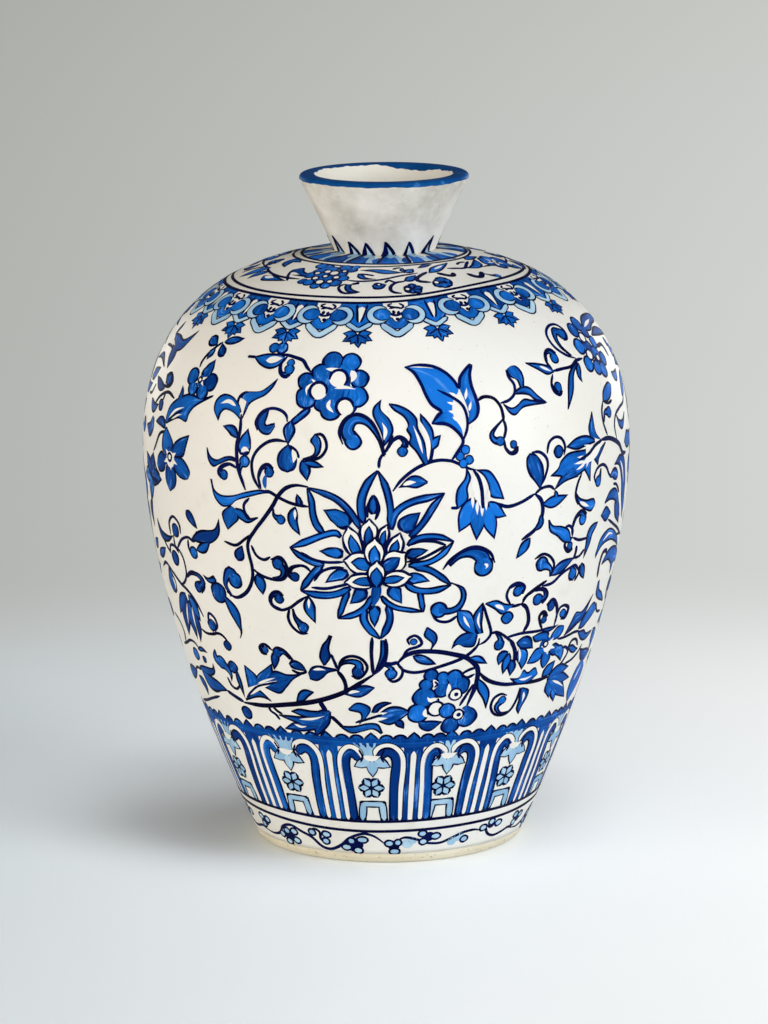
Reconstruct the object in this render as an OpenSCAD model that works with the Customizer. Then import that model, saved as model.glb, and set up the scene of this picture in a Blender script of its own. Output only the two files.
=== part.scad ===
// Round-shouldered pottery vase: clay sections luted together with slip, under a white tin glaze.
// The side of the vase is one swept profile, and each piece is a slice of it between two depths.

/* [Body] */
// Height from the table to the top of the lip
vase_h = 300; // [285:1:330]
// Widest diameter, at the belly
belly_d = 217; // [190:1:240]
// Height of the belly above the table
belly_z = 180; // [165:1:195]
// Diameter where the wall springs from the foot
base_d = 122; // [100:1:140]
// Thickness of the clay wall
wall_t = 6.5; // [5:0.5:9]
// Thickness of the clay floor
floor_t = 7; // [5:0.5:12]

/* [Side profile] */
// Lean of the wall from upright as it leaves the foot, in degrees
foot_lean = 24; // [15:1:30]
// How far up the lower wall the foot's lean is felt
foot_pull = 35; // [20:1:50]
// How far down the lower wall the upright belly is felt
belly_pull_down = 63; // [40:1:80]
// How far up the shoulder the upright belly is felt
belly_pull_up = 50; // [40:1:60]
// How far out from the neck the level crown is felt
crown_pull = 62; // [45:1:75]
// Slope of the crown where the neck stands on it, in degrees
crown_slope = 2; // [0.5:0.5:6]

/* [Foot] */
// Height of the bare foot ring
foot_h = 5; // [5:0.5:10]
// Radial width of the foot ring on the table side, before its outer edge is rounded
foot_ring_w = 13; // [10:0.5:20]
// Radius of the foot ring's outer lower edge
foot_round = 4.5; // [2:0.5:4.5]
// How much the recess inside the foot ring narrows towards the floor
foot_draft = 2; // [0:0.5:4]

/* [Neck and lip] */
// Height of the flared neck above the crown
neck_h = 33.5; // [25:0.5:45]
// Outside diameter of the neck where it leaves the shoulder
throat_d = 45; // [38:0.5:60]
// Outside diameter of the flared lip, before its edges are rounded
lip_d = 77.5; // [62:0.5:92]
// Thickness of the neck's wall at the shoulder
neck_t = 6; // [4:0.5:8]
// Width of the flat lip
lip_w = 8; // [6:0.5:10]
// Radius of the lip's two edges
lip_round = 1.8; // [1.2:0.1:2.4]
// How far the neck's flare bows inwards from a straight cone
neck_bow = 0.4; // [0:0.1:2]
// Depth of the seat cut into the shoulder for the neck
seat_depth = 2; // [1:0.5:3]

/* [Seams and glaze] */
// Thickness of the slip that joins two clay sections
slip_t = 0.8; // [0.4:0.1:1.5]
// Height of the ridge that keys the two halves of the wall together
seam_key = 2; // [0.5:0.5:4]
// Thickness of the outer glaze
glaze_t = 0.5; // [0.3:0.1:1]
// Thickness of the glaze that lines the chamber
liner_t = 0.4; // [0.3:0.1:0.8]
// How far the cobalt rim glaze reaches down both faces of the lip
rim_band = 3.5; // [2.5:0.5:6]

/* [Hidden] */
$fn = 128;

// Straight steps that stand in for each curve of the side, for the neck's flare and for a rounded edge
side_steps = 32;
flare_steps = 10;
round_steps = 8;

// Colours as fired
bare_clay = "#e2d2a6";
slip_clay = "#cdb68c";
tin_white = "#f6f1e6";
neck_white = "#d8d5cc";
rim_cobalt = "#1c4fa8";

// Radii
belly_r = belly_d / 2;
throat_r = throat_d / 2;
bore_r = throat_r - neck_t;
lip_r = lip_d / 2;

// Depths of the layers below the glazed surface
clay_in = glaze_t + wall_t;
liner_in = clay_in + liner_t;

// The side of the vase: one curve from the foot to the belly, one from the belly seam to the crown
foot_spring = [base_d / 2, foot_h];
belly_low = [belly_r, belly_z];
belly_high = [belly_r, belly_z + slip_t];
crown_end = [bore_r, vase_h - neck_h];
lower_curve = [
    foot_spring,
    foot_spring + foot_pull * [sin(foot_lean), cos(foot_lean)],
    belly_low - [0, belly_pull_down],
    belly_low
];
upper_curve = [
    belly_high,
    belly_high + [0, belly_pull_up],
    crown_end + crown_pull * [cos(crown_slope), -sin(crown_slope)],
    crown_end
];

// Heights of the horizontal joints
floor_z = foot_h + floor_t;
wall_z = floor_z + slip_t;
shoulder_z = height_at(throat_r, 0);
seat_z = height_at(throat_r, glaze_t) - seat_depth;
neck_z = seat_z + slip_t;
band_z = vase_h - rim_band;

// Point on a cubic curve
function bezier(p, t) =
    pow(1 - t, 3) * p[0] + 3 * pow(1 - t, 2) * t * p[1]
    + 3 * (1 - t) * t * t * p[2] + pow(t, 3) * p[3];

// Direction of a cubic curve, up the side
function bezier_way(p, t) =
    pow(1 - t, 2) * (p[1] - p[0]) + 2 * (1 - t) * t * (p[2] - p[1]) + t * t * (p[3] - p[2]);

// Point on a curve of the side, sunk square into the wall by depth
function sunk(p, t, depth) =
    let (way = bezier_way(p, t))
    bezier(p, t) + depth * [-way.y, way.x] / norm(way);

// Both curves at one depth; the lower one runs one step past the foot, so any depth can be cut level
function lower_side(depth) = [for (i = [-1:side_steps]) sunk(lower_curve, i / side_steps, depth)];
function upper_side(depth) = [for (i = [0:side_steps]) sunk(upper_curve, i / side_steps, depth)];
function side(depth) = concat(lower_side(depth), upper_side(depth));

// Where a layer of the side has a given height, or where its shoulder has a given radius
function radius_at(z, depth) = lookup(z, [for (p = side(depth)) [p.y, p.x]]);
function height_at(r, depth) = lookup(r, [for (p = upper_side(depth)) p]);

// The stretch of one layer between two heights, cut level at both ends
function stretch(depth, z0, z1) =
    concat(
        [[radius_at(z0, depth), z0]],
        [for (p = side(depth)) if (p.y > z0 && p.y < z1) p],
        [[radius_at(z1, depth), z1]]
    );

function backwards(points) = [for (i = [len(points) - 1:-1:0]) points[i]];

// A corner between two straight lines, replaced by an arc
function rounded(before, corner, after, r) =
    let (
        a = (before - corner) / norm(before - corner),
        b = (after - corner) / norm(after - corner),
        half = acos(a * b) / 2,
        centre = corner + (a + b) / norm(a + b) * r / sin(half),
        from = corner + a * r / tan(half) - centre,
        to = corner + b * r / tan(half) - centre,
        sweep = 180 - 2 * half
    )
    [for (i = [0:round_steps])
        let (turn = sweep * i / round_steps)
        centre + (from * sin(sweep - turn) + to * sin(turn)) / sin(sweep)];

// Radii of the neck's two faces at a height; below the shoulder the neck is straight in its seat
function flare(z) = max(0, (z - shoulder_z) / (vase_h - shoulder_z));
function bowed(low, high, s) = low + (high - low) * s - 4 * neck_bow * s * (1 - s);
function neck_out(z) = bowed(throat_r, lip_r, flare(z));
function neck_in(z) = bowed(bore_r, lip_r - lip_w, flare(z));

// The lip's outline from its inner face over the top to its outer face, sunk into the clay by depth
function lip_path(depth) =
    let (
        top = vase_h - depth,
        inner_foot = [neck_in(band_z) + depth, band_z],
        inner_top = [neck_in(top) + depth, top],
        outer_top = [neck_out(top) - depth, top],
        outer_foot = [neck_out(band_z) - depth, band_z]
    )
    concat(
        [inner_foot],
        rounded(inner_foot, inner_top, outer_top, lip_round - depth),
        rounded(inner_top, outer_top, outer_foot, lip_round - depth),
        [outer_foot]
    );

flare_heights = [for (i = [0:flare_steps]) shoulder_z + (band_z - shoulder_z) * i / flare_steps];
neck_out_face = [for (z = flare_heights) [neck_out(z), z]];
neck_in_face = [for (z = flare_heights) [neck_in(z), z]];

// The keyed top of the lower wall, from its outer to its inner face, raised by lift
function belly_key(lift) = [
    [belly_r - glaze_t, belly_z + lift],
    [belly_r - glaze_t - wall_t / 2, belly_z + seam_key + lift],
    [belly_r - clay_in, belly_z + lift]
];

module turned(outline) {
    rotate_extrude() polygon(outline);
}

module foot_ring() {
    top_r = radius_at(foot_h, glaze_t);
    inner_r = top_r - foot_ring_w;
    color(bare_clay)
        turned(concat(
            [[inner_r, 0]],
            rounded([inner_r, 0], [top_r, 0], [top_r, foot_h], foot_round),
            [[top_r, foot_h], [inner_r - foot_draft, foot_h]]
        ));
}

module floor_disc() {
    color(bare_clay)
        turned(concat([[0, foot_h]], stretch(glaze_t, foot_h, floor_z), [[0, floor_z]]));
}

module base_slip_seam() {
    color(slip_clay)
        turned(concat(
            stretch(glaze_t, floor_z, wall_z),
            backwards(stretch(clay_in, floor_z, wall_z))
        ));
}

module lower_wall() {
    color(bare_clay)
        turned(concat(
            stretch(glaze_t, wall_z, belly_z),
            [belly_key(0)[1]],
            backwards(stretch(clay_in, wall_z, belly_z))
        ));
}

module belly_slip_seam() {
    color(slip_clay)
        turned(concat(belly_key(0), backwards(belly_key(slip_t))));
}

module upper_wall() {
    color(bare_clay)
        turned(concat(
            stretch(glaze_t, belly_high.y, height_at(throat_r, glaze_t)),
            [[throat_r, seat_z], [bore_r, seat_z]],
            backwards(stretch(clay_in, belly_high.y, height_at(bore_r, clay_in))),
            [belly_key(slip_t)[1]]
        ));
}

module neck_slip_seam() {
    color(slip_clay)
        turned([[bore_r, seat_z], [throat_r, seat_z], [throat_r, neck_z], [bore_r, neck_z]]);
}

module neck_collar() {
    color(neck_white)
        turned(concat(
            [[bore_r, neck_z]],
            neck_in_face,
            lip_path(glaze_t),
            backwards(neck_out_face),
            [[throat_r, neck_z]]
        ));
}

module rim_glaze() {
    color(rim_cobalt)
        turned(concat(lip_path(0), backwards(lip_path(glaze_t))));
}

module body_glaze() {
    color(tin_white)
        turned(concat(
            stretch(0, foot_h, shoulder_z),
            backwards(stretch(glaze_t, foot_h, height_at(throat_r, glaze_t)))
        ));
}

module liner_glaze() {
    liner_z = floor_z + liner_t;
    color(tin_white)
        turned(concat(
            [[0, floor_z]],
            stretch(clay_in, floor_z, height_at(bore_r, clay_in)),
            backwards(stretch(liner_in, liner_z, height_at(bore_r, liner_in))),
            [[0, liner_z]]
        ));
}

foot_ring();
floor_disc();
base_slip_seam();
lower_wall();
belly_slip_seam();
upper_wall();
neck_slip_seam();
neck_collar();
rim_glaze();
body_glaze();
liner_glaze();
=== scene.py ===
import math

import bpy
import numpy as np
from mathutils import Matrix, Vector


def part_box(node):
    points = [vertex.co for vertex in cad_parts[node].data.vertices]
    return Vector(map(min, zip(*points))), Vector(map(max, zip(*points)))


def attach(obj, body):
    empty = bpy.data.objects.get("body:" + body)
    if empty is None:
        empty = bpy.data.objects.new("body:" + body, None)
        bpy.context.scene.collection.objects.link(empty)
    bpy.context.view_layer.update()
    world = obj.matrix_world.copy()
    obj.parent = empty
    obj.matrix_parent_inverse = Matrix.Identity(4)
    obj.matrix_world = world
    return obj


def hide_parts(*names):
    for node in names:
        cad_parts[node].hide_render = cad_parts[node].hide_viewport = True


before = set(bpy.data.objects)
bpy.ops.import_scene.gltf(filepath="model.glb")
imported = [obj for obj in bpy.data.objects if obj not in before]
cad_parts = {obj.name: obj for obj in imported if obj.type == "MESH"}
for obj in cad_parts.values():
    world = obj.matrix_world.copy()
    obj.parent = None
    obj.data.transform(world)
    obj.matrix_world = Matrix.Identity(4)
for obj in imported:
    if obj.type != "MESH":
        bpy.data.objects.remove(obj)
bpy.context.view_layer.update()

# Sizes in millimetres, from the frame and from the profile that the solids follow
MM = 0.001
BELLY_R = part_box("body_glaze")[1].x / MM
FOOT_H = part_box("body_glaze")[0].z / MM
VASE_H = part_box("rim_glaze")[1].z / MM
NECK_SEAT_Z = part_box("neck_collar")[0].z / MM
BASE_R = 61
BELLY_Z = 180
CROWN_R = 16.5
CROWN_Z = 266.5
FOOT_LEAN = math.radians(24)
FOOT_PULL = 35
BELLY_PULL_DOWN = 63
BELLY_PULL_UP = 50
CROWN_PULL = 62
CROWN_SLOPE = math.radians(2)
NECK_FOOT_R = 22.5
THROAT_R = 16.5
LIP_R = 38.75
LIP_W = 8
LIP_ROUND = 1.8
NECK_BOW = 0.4
GLAZE_T = 0.5
FOOT_RING_W = 13
FOOT_ROUND = 4.5
FOOT_DRAFT = 2

# Marks of the hand on the body: slow swelling and fine throwing rings, and how fast they change going up
SWELL = 0.1
SWELL_TURNING = 31
SWELL_RISING = 47
THROWING = 0.03
THROWING_PITCH = 1.9

# Arc length over which these marks fade out downwards, so that the wall meets the foot cleanly
CLEAN_FOOT = 20

# Marks of the hand on the neck and the foot: how far they are out of round, and how this turns going up
OUT_OF_ROUND = 0.002
OUT_OF_ROUND_TURNING = 9

# Brush, in millimetres: step along a stroke, column width, least half width, and widths of some strokes
BRUSH_STEP = 0.9
COLUMN = 1.6
THIN = 0.03
OUTLINE = 1.0
FINE = 1.4
SHORT_GLEAM = 1.3

# The hand lets the width of a stroke waver by a small share, and the place of a ring by a fixed length
HAND = 0.05
HAND_WAVE = 8
HAND_SHIFT = 6
RING_WAVER = 0.25
RING_WAVES = 5

# Most that an inset takes of the width of a patch, from each side
MOST_MARGIN = 0.49

# Shares of a radius: the most that the outline takes of a dot, and the widths of commas and curls
DOT_OUTLINE = 0.28
COMMA_WIDTH = 1.9
CURL_WIDTH = 1.5

# A deeper tone, painted shade on the left side of the scroll and also laid on the petal band, a wet brush's
# lighter tone, and the one tone of all rings
DEEP_TONE = -0.5
WET = 0.5
RING_TONE = 0.1

# Film of paint: height of each coat above the glaze, and how far its underside is sunk
FIRST_COAT = 0.05
COAT = 0.02
SUNK = 0.15

# Order of the coats in the scroll, from the lowest
VINE_COAT = 2
EDGE_COAT = 3
WASH_COAT = 4
GLEAM_COAT = 5
INK_COAT = 5.5
EYE_COAT = 6
LOTUS_HEART_COAT = 8

# Bands: numbers of panels and lappets, height of a berry, and the panels' ring with its rise at the sides
PANELS = 14
LAPPETS = 16
BERRY_HIGH = 4.4
PANEL_FOOT = 18.4
PANEL_FOOT_RISE = 2

# A pillar stands this many degrees to the right of the middle between two panels
PILLAR_SHIFT = 0.6

# Shoulder rings: their mean shift, their swing, how sharply they step, and the angle of the step
TILT_MEAN = 2.5
TILT_SWING = 3.6
TILT_SHARP = 3
TILT_AT = 20

# Fineness of the meshes
PROFILE_STEPS = 240
NECK_STEPS = 40
SPAN_STEPS = 24
LEAST_ROWS = 7
DISC_ROWS = 17
CORNER_POINTS = 9
RING_POINTS = 361
BODY_TURNS = 288
NECK_TURNS = 192
RIM_TURNS = 360
RIM_ROWS = 26
BODY_ROW = 2.2
INSIDE_COARSER = 3

# Inside of the neck: shares of its height at which the lip's outline ends and the plain funnel starts
LIP_LOW = 0.4
FUNNEL_TOP = 0.38
FUNNEL_POINTS = 12

# Paint on the lip: reach outside and inside, ragged edge as waves round the rim, and one run down inside
RIM_OUTSIDE = 3.0
RIM_INSIDE = 5.0
RIM_RAGS = ((3, 0.2), (7, 0.2), (13, 0.2), (29, 0.15), (53, 0.1))
RIM_OUTSIDE_RAG = 0.5
RIM_RUN = 2.8
RIM_RUN_AT = math.radians(150)
RIM_RUN_WIDE = 0.5
RIM_FILM = 0.08

# Camera, fitted to the ellipses of the rim and the foot in a picture of 768 by 1024
LENS = 175.78
SENSOR = 36
CAMERA_AT = (-0.0013, -2.197, 0.5859)
CAMERA_PITCH = math.radians(11.3)
CAMERA_ROLL = math.radians(-0.5)

# Floor, in metres, with the middle of the shadow to the left of the foot
FLOOR_SIZE = 16
FLOOR_CUTS = 40
SHADE_AT = (-0.06, 0.015, 0)

# Distances over which painted light is added outside the shadow, and over which the backdrop takes over
SHADE_REACH = (0.01, 0.10)
BACKDROP_REACH = (0.28, 0.62)

# The floor's tones change with the way to the side, as a share of the distance, and with the way back
VIEW_DISTANCE = 2.2
SIDE_REACH = (-0.08, 0.08)
BACK_REACH = (-0.5, 0.5)
HIGH_REACH = (1.0, 4.5)

# Light: what the lamps aim at, and colours
VASE_MIDDLE = (0, 0, 0.15)
DAYLIGHT = (0.97, 0.99, 1.0)
LAMPLIGHT = (1, 0.86, 0.68)
AMBIENT = (1, 0.91, 0.78, 1)
AMBIENT_LEVEL = 0.12

# Colours of the glaze and of the white coat on the neck, as red, green, blue and alpha
WHITE = (0.95, 0.94, 0.91, 1)
CREAM = (0.93, 0.91, 0.85, 1)
SMEAR = (0.87, 0.84, 0.77, 1)
PINHOLE = (0.55, 0.47, 0.36, 1)
THIN_COAT = (0.58, 0.56, 0.50, 1)
FULL_COAT = (0.90, 0.88, 0.83, 1)
COAT_FLECK = (0.93, 0.92, 0.88, 1)
COAT_GRIT = (0.5, 0.47, 0.42, 1)
MOUTH_CREAM = (0.96, 0.93, 0.85, 1)

# White coat on the neck: how much it thins towards the lip, and how strongly its flecks show
COAT_THINNING = 0.22
FLECK_STRENGTH = 0.4

# Colours of the bare clays, each in its darker and its lighter patches, and of the grog in them
FOOT_CLAY = ((0.80, 0.72, 0.54, 1), (0.90, 0.84, 0.68, 1))
WALL_CLAY = ((0.60, 0.46, 0.30, 1), (0.72, 0.58, 0.40, 1))
SLIP_CLAY = ((0.55, 0.42, 0.27, 1), (0.66, 0.53, 0.36, 1))
GROG = (0.40, 0.30, 0.18, 1)

# Colours of the paints: where they pool, where they are even, and where the brush runs dry
NAVY_POOL = (0.0003, 0.001, 0.018, 1)
NAVY = (0.001, 0.006, 0.09, 1)
NAVY_DRY = (0.003, 0.03, 0.22, 1)
COBALT_POOL = (0.001, 0.035, 0.22, 1)
COBALT = (0.010, 0.19, 0.76, 1)
LIGHT_COBALT = (0.10, 0.32, 0.86, 1)
PALE_POOL = (0.30, 0.53, 0.78, 1)
PALE = (0.55, 0.77, 0.92, 1)
RIM_POOL = (0.003, 0.065, 0.25, 1)
RIM_COBALT = (0.012, 0.15, 0.45, 1)
WHITE_POOL = (0.92, 0.91, 0.86, 1)

# Brushed paint: streaks across a stroke, along it and from stroke to stroke, and the bristles' share
STREAKS_ACROSS = 4.0
STREAKS_ALONG = 1.5
STREAKS_APART = 40.0
BRISTLES = 0.55

# Brushed paint: weight of the pools at the edges and of a stroke's own tone, and softness of dry marks
POOLING = 0.22
OWN_TONE = 0.3
DRY_SOFTNESS = 0.08

# Colours of the floor and the backdrop, where two stand together for the left side and the right side
# The backdrop's darker left side and darker far back are painted shade, and the added light on the floor is
# painted light
FLOOR_DULL = (0.86, 0.91, 0.94, 1)
FLOOR_BRIGHT = (0.89, 0.94, 0.97, 1)
BEFORE = ((0.72, 0.78, 0.78, 1), (0.95, 0.97, 0.98, 1))
BEHIND = ((0.46, 0.47, 0.45, 1), (0.64, 0.66, 0.64, 1))
BEHIND_HIGH = ((0.40, 0.41, 0.38, 1), (0.56, 0.57, 0.54, 1))
ADDED_LIGHT = ((0.14, 0.17, 0.19, 1), (0.41, 0.41, 0.41, 1))
NO_LIGHT = (0, 0, 0, 1)

# The painting as it grows: the films, the turn of the vase, a shift of tone, deeper where shade is painted,
# and the spread of tones
films = []
hand_turn = [0.0]
tone_shift = [0.0]
dice = np.random.default_rng(7)


# Profile of the painted body, in millimetres, as radius and height
def bezier(points, steps):
    t = np.linspace(0, 1, steps)[:, None]
    a, b, c, d = (np.array(p, float) for p in points)
    return (1 - t) ** 3 * a + 3 * (1 - t) ** 2 * t * b + 3 * (1 - t) * t ** 2 * c + t ** 3 * d


def body_profile():
    """Radius and height from the foot, over the belly and shoulder, and up the outside of the neck."""
    foot = np.array([BASE_R, FOOT_H])
    belly = np.array([BELLY_R, BELLY_Z])
    crown = np.array([CROWN_R, CROWN_Z])
    foot_pull = foot + FOOT_PULL * np.array([math.sin(FOOT_LEAN), math.cos(FOOT_LEAN)])
    crown_pull = crown + CROWN_PULL * np.array([math.cos(CROWN_SLOPE), -math.sin(CROWN_SLOPE)])
    lower = bezier((foot, foot_pull, belly - (0, BELLY_PULL_DOWN), belly), PROFILE_STEPS)
    upper = bezier((belly, belly + (0, BELLY_PULL_UP), crown_pull, crown), PROFILE_STEPS)
    shoulder = upper[upper[:, 0] > NECK_FOOT_R]
    share = np.linspace(0, 1, NECK_STEPS)[:, None]
    neck = (1 - share) * (NECK_FOOT_R, shoulder[-1, 1]) + share * (LIP_R, VASE_H)
    neck[:, 0] -= 4 * NECK_BOW * (share * (1 - share))[:, 0]
    return np.vstack([lower, shoulder[1:], neck])


def arc_lengths(profile):
    return np.r_[0, np.cumsum(np.hypot(*np.diff(profile, axis=0).T))]


BODY = body_profile()
BODY_ARC = arc_lengths(BODY)
BODY_SLOPE = np.gradient(BODY, BODY_ARC, axis=0)
NECK = BODY[-NECK_STEPS:]
NECK_FOOT_ARC = BODY_ARC[-NECK_STEPS]


def radius_at(arc):
    return np.interp(arc, BODY_ARC, BODY[:, 0])


def slope_at(arc):
    """How fast the radius and the height grow with the arc length."""
    return np.interp(arc, BODY_ARC, BODY_SLOPE[:, 0]), np.interp(arc, BODY_ARC, BODY_SLOPE[:, 1])


def place(degrees, arc, lift=0.0):
    """Points in metres on the body, from degrees to the right of the front and arc length from the foot."""
    angle = np.radians(degrees)
    slope_r, slope_z = slope_at(arc)
    swell = SWELL * np.sin(2 * angle + arc / SWELL_TURNING) * np.sin(arc / SWELL_RISING)
    rings = THROWING * np.sin(arc / THROWING_PITCH + angle)
    out = lift + (swell + rings) * np.clip(arc / CLEAN_FOOT, 0, 1)
    r = radius_at(arc) + slope_z * out
    z = np.interp(arc, BODY_ARC, BODY[:, 1]) - slope_r * out
    return np.stack([r * np.sin(angle), -r * np.cos(angle), z], -1) * MM


def facing(degrees, arc):
    """Outward directions of the body at the same places."""
    angle = np.radians(degrees)
    slope_r, slope_z = slope_at(arc)
    return np.stack([slope_z * np.sin(angle), -slope_z * np.cos(angle), -slope_r], -1)


# Brush shapes: the width of a stroke as a share of its full width, from its start at 0 to its end at 1
def leaf_shape(u):
    return np.sin(np.pi * u ** 0.8)


def bud_shape(u):
    """A slow swelling to a round head."""
    widest = 0.62
    tail = np.sin(np.pi / 2 * u / widest)
    head = np.sqrt(np.clip(1 - ((u - widest) / (1 - widest)) ** 2, 0, 1))
    return np.where(u < widest, tail, head)


def horn_shape(u):
    return np.clip(u / 0.12, 0, 1) ** 0.5 * (1 - u) ** 0.8


def line_shape(u):
    return np.clip(0.4 + 5 * np.minimum(u, 1 - u), 0, 1)


def disc_shape(u):
    return np.sqrt(np.clip(1 - (2 * u - 1) ** 2, 0, 1))


def comma_shape(u):
    return 0.22 + 0.78 * u ** 1.6


def band_shape(u):
    return np.ones_like(u)


def cane_shape(u):
    return np.clip((1 - u) / 0.06, 0, 1) ** 0.5


def heart_shape(u):
    """Blunt at the start, widest early, with straight flanks to a point."""
    return np.interp(u, (0, 0.1, 0.3, 0.65, 1), (0.5, 0.85, 1, 0.7, 0))


def cup_shape(u):
    """A full petal with a soft point."""
    return np.sin(np.pi * u ** 0.95) ** 0.55 * np.clip((1.02 - u) / 0.3, 0, 1) ** 0.4


def tip_shape(u):
    """A band of even width that starts in a point."""
    return np.clip(0.12 + u / 0.3, 0, 1) ** 0.7 * np.clip(0.5 + (1 - u) / 0.2, 0, 1)


def crescent_shape(u):
    return np.clip(0.35 + 0.9 * np.sin(np.pi * u), 0, 1)


def wedge_shape(u):
    return (1 - u) ** 0.75


def flame_foot_shape(u):
    """Wide at the ring and narrower at the neck."""
    return 1 - 0.45 * u


# Brush strokes: each is a strip of paint along a spine, or between two edges
def smooth_spine(points, step):
    """A Catmull-Rom curve through the points: points a step apart, and their shares of its length."""
    p = np.array(points, float)
    p = np.vstack([2 * p[0] - p[1], p, 2 * p[-1] - p[-2]])
    t = np.linspace(0, 1, SPAN_STEPS, endpoint=False)[:, None]
    runs = []
    for a, b, c, d in zip(p, p[1:], p[2:], p[3:]):
        bend = 2 * a - 5 * b + 4 * c - d
        twist = 3 * (b - c) + d - a
        runs.append(0.5 * (2 * b + (c - a) * t + bend * t ** 2 + twist * t ** 3))
    curve = np.vstack([*runs, p[-2:-1]])
    length = arc_lengths(curve)
    even = np.linspace(0, length[-1], max(LEAST_ROWS, math.ceil(length[-1] / step)))
    spine = np.stack([np.interp(even, length, curve[:, k]) for k in (0, 1)], 1)
    return spine, even / length[-1]


def flattened(points):
    """Points in millimetres on a flat sheet, and the millimetres to a degree at their mean height."""
    per_degree = math.radians(radius_at(np.mean([arc for _, arc in points])))
    return [(degrees * per_degree, arc) for degrees, arc in points], per_degree


def wide_rows(wide, least):
    """The stretch of rows that are wider than the least width, with one more at each end."""
    inside = np.flatnonzero(wide > least)
    if len(inside) < 2:
        return None
    return slice(max(inside[0] - 1, 0), inside[-1] + 2)


def brush_columns(half):
    """Places across a stroke, from its left edge at -1 to its right edge at 1."""
    return np.linspace(-1, 1, 2 + math.floor(half / COLUMN))


def lay(paint, level, degrees, arc, across, along, tone):
    """Keeps one film of paint, in rows along the stroke, turned to the side that the hand works on."""
    across = np.broadcast_to(across, degrees.shape)
    films.append((paint, level, degrees + hand_turn[0], arc, across, along, tone))


def stroke(paint, level, points, width, shape, inset=0.0, lean=0.0):
    """Lays one strip of paint. Points are degrees and arc length, the width and the inset are millimetres.
    A lean of 1 or -1 moves the strip to the left or right of its spine by half its width."""
    flat, per_degree = flattened(points)
    spine, u = smooth_spine(flat, BRUSH_STEP)
    if shape is disc_shape:
        u = (1 - np.cos(np.linspace(0, np.pi, DISC_ROWS))) / 2
        spine = spine[0] + (spine[-1] - spine[0]) * u[:, None]
    tone = dice.uniform(0, 1) + tone_shift[0]
    full = shape(u) * width / 2 * (1 + HAND * np.sin(HAND_WAVE * u + HAND_SHIFT * tone))
    half = full
    if inset:
        reach = np.minimum(u, 1 - u) * np.linalg.norm(np.diff(spine, axis=0), axis=1).sum()
        half = (full - inset) * np.clip((reach - inset) / (2 * inset + THIN), 0, 1) ** 0.5
    kept = wide_rows(half, THIN)
    if kept is None:
        return
    spine, full, half, u = spine[kept], full[kept], np.maximum(half[kept], THIN), u[kept]
    way = np.gradient(spine, axis=0)
    way /= np.linalg.norm(way, axis=1, keepdims=True)
    across = brush_columns(half.max())
    offset = half[:, None] * across + lean * full[:, None]
    degrees = (spine[:, :1] - way[:, 1:] * offset) / per_degree
    lay(paint, level, degrees, spine[:, 1:] + way[:, :1] * offset, across, u, tone)


def patch(paint, level, left, right, inset=0.0):
    """Paint between two edges, each drawn from the base to the tip. The inset keeps it off both edges."""
    flat, per_degree = flattened(left + right)
    edges = [smooth_spine(edge, BRUSH_STEP)[0] for edge in (flat[:len(left)], flat[len(left):])]
    u = np.linspace(0, 1, max(len(edge) for edge in edges))
    a, b = (np.stack([np.interp(u, np.linspace(0, 1, len(e)), e[:, k]) for k in (0, 1)], 1) for e in edges)
    way = np.gradient(a + b, axis=0)
    if np.sum(way[:, 0] * (b - a)[:, 1] - way[:, 1] * (b - a)[:, 0]) < 0:
        a, b = b, a
    wide = np.linalg.norm(b - a, axis=1)
    kept = wide_rows(wide, 2 * inset + THIN)
    if kept is None:
        return
    a, b, u = a[kept], b[kept], u[kept]
    margin = np.clip(inset / np.maximum(wide[kept], THIN), 0, MOST_MARGIN)[:, None]
    across = brush_columns(wide.max() / 2)
    share = 0.5 + across * (0.5 - margin)
    spots = a[:, None] + (b - a)[:, None] * share[..., None]
    tone = dice.uniform(0, 1) + tone_shift[0]
    lay(paint, level, spots[..., 0] / per_degree, spots[..., 1], across, u, tone)


def outlined(paint, level, points, width, shape, inset=OUTLINE, lean=0.0):
    """A dark stroke with a narrower one of another paint on it."""
    stroke("line", level, points, width, shape, lean=lean)
    stroke(paint, level + 1, points, width, shape, inset=inset, lean=lean)


def wash(left, right):
    """Blue between two edges, without an outline."""
    patch("blue", EDGE_COAT, left, right)


def blade(left, right):
    """A leaf with a dark outline, given by its two edges."""
    patch("line", EDGE_COAT, left, right)
    patch("blue", WASH_COAT, left, right, inset=OUTLINE)


def ink(width, *points, level=INK_COAT):
    """A dark line over the washes."""
    stroke("line", level, points, width, line_shape)


def vine(width, *points):
    """A dark line under the leaves."""
    stroke("line", VINE_COAT, points, width, line_shape)


def line(*points):
    vine(FINE, *points)


def leaf(width, *points, shape=leaf_shape):
    outlined("blue", EDGE_COAT, points, width, shape)


def bud(width, *points):
    leaf(width, *points, shape=bud_shape)


def spot(paint, level, centre, radius, inset=0.0):
    degrees, arc = centre
    size = radius - inset
    stroke(paint, level, ((degrees, arc - size), (degrees, arc + size)), 2 * size, disc_shape)


def spots(paint, level, *places):
    for degrees, arc, radius in places:
        spot(paint, level, (degrees, arc), radius)


def outlined_spot(paint, level, centre, radius, inset=OUTLINE):
    spot("line", level, centre, radius)
    spot(paint, level + 1, centre, radius, inset)


def dot(degrees, arc, radius):
    outlined_spot("blue", EDGE_COAT, (degrees, arc), radius, min(OUTLINE, DOT_OUTLINE * radius))


def dots(*places):
    for degrees, arc, radius in places:
        dot(degrees, arc, radius)


def eye(degrees, arc, radius):
    """A white spot with a dark outline, over the washes and their lines."""
    outlined_spot("white", EYE_COAT, (degrees, arc), radius)


def eyes(*places):
    for degrees, arc, radius in places:
        eye(degrees, arc, radius)


def comma(radius, *points):
    """A tail that swells into a round head, centred on the last point."""
    outlined("blue", EDGE_COAT, points, COMMA_WIDTH * radius, comma_shape)
    dot(*points[-1], radius)


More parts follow.
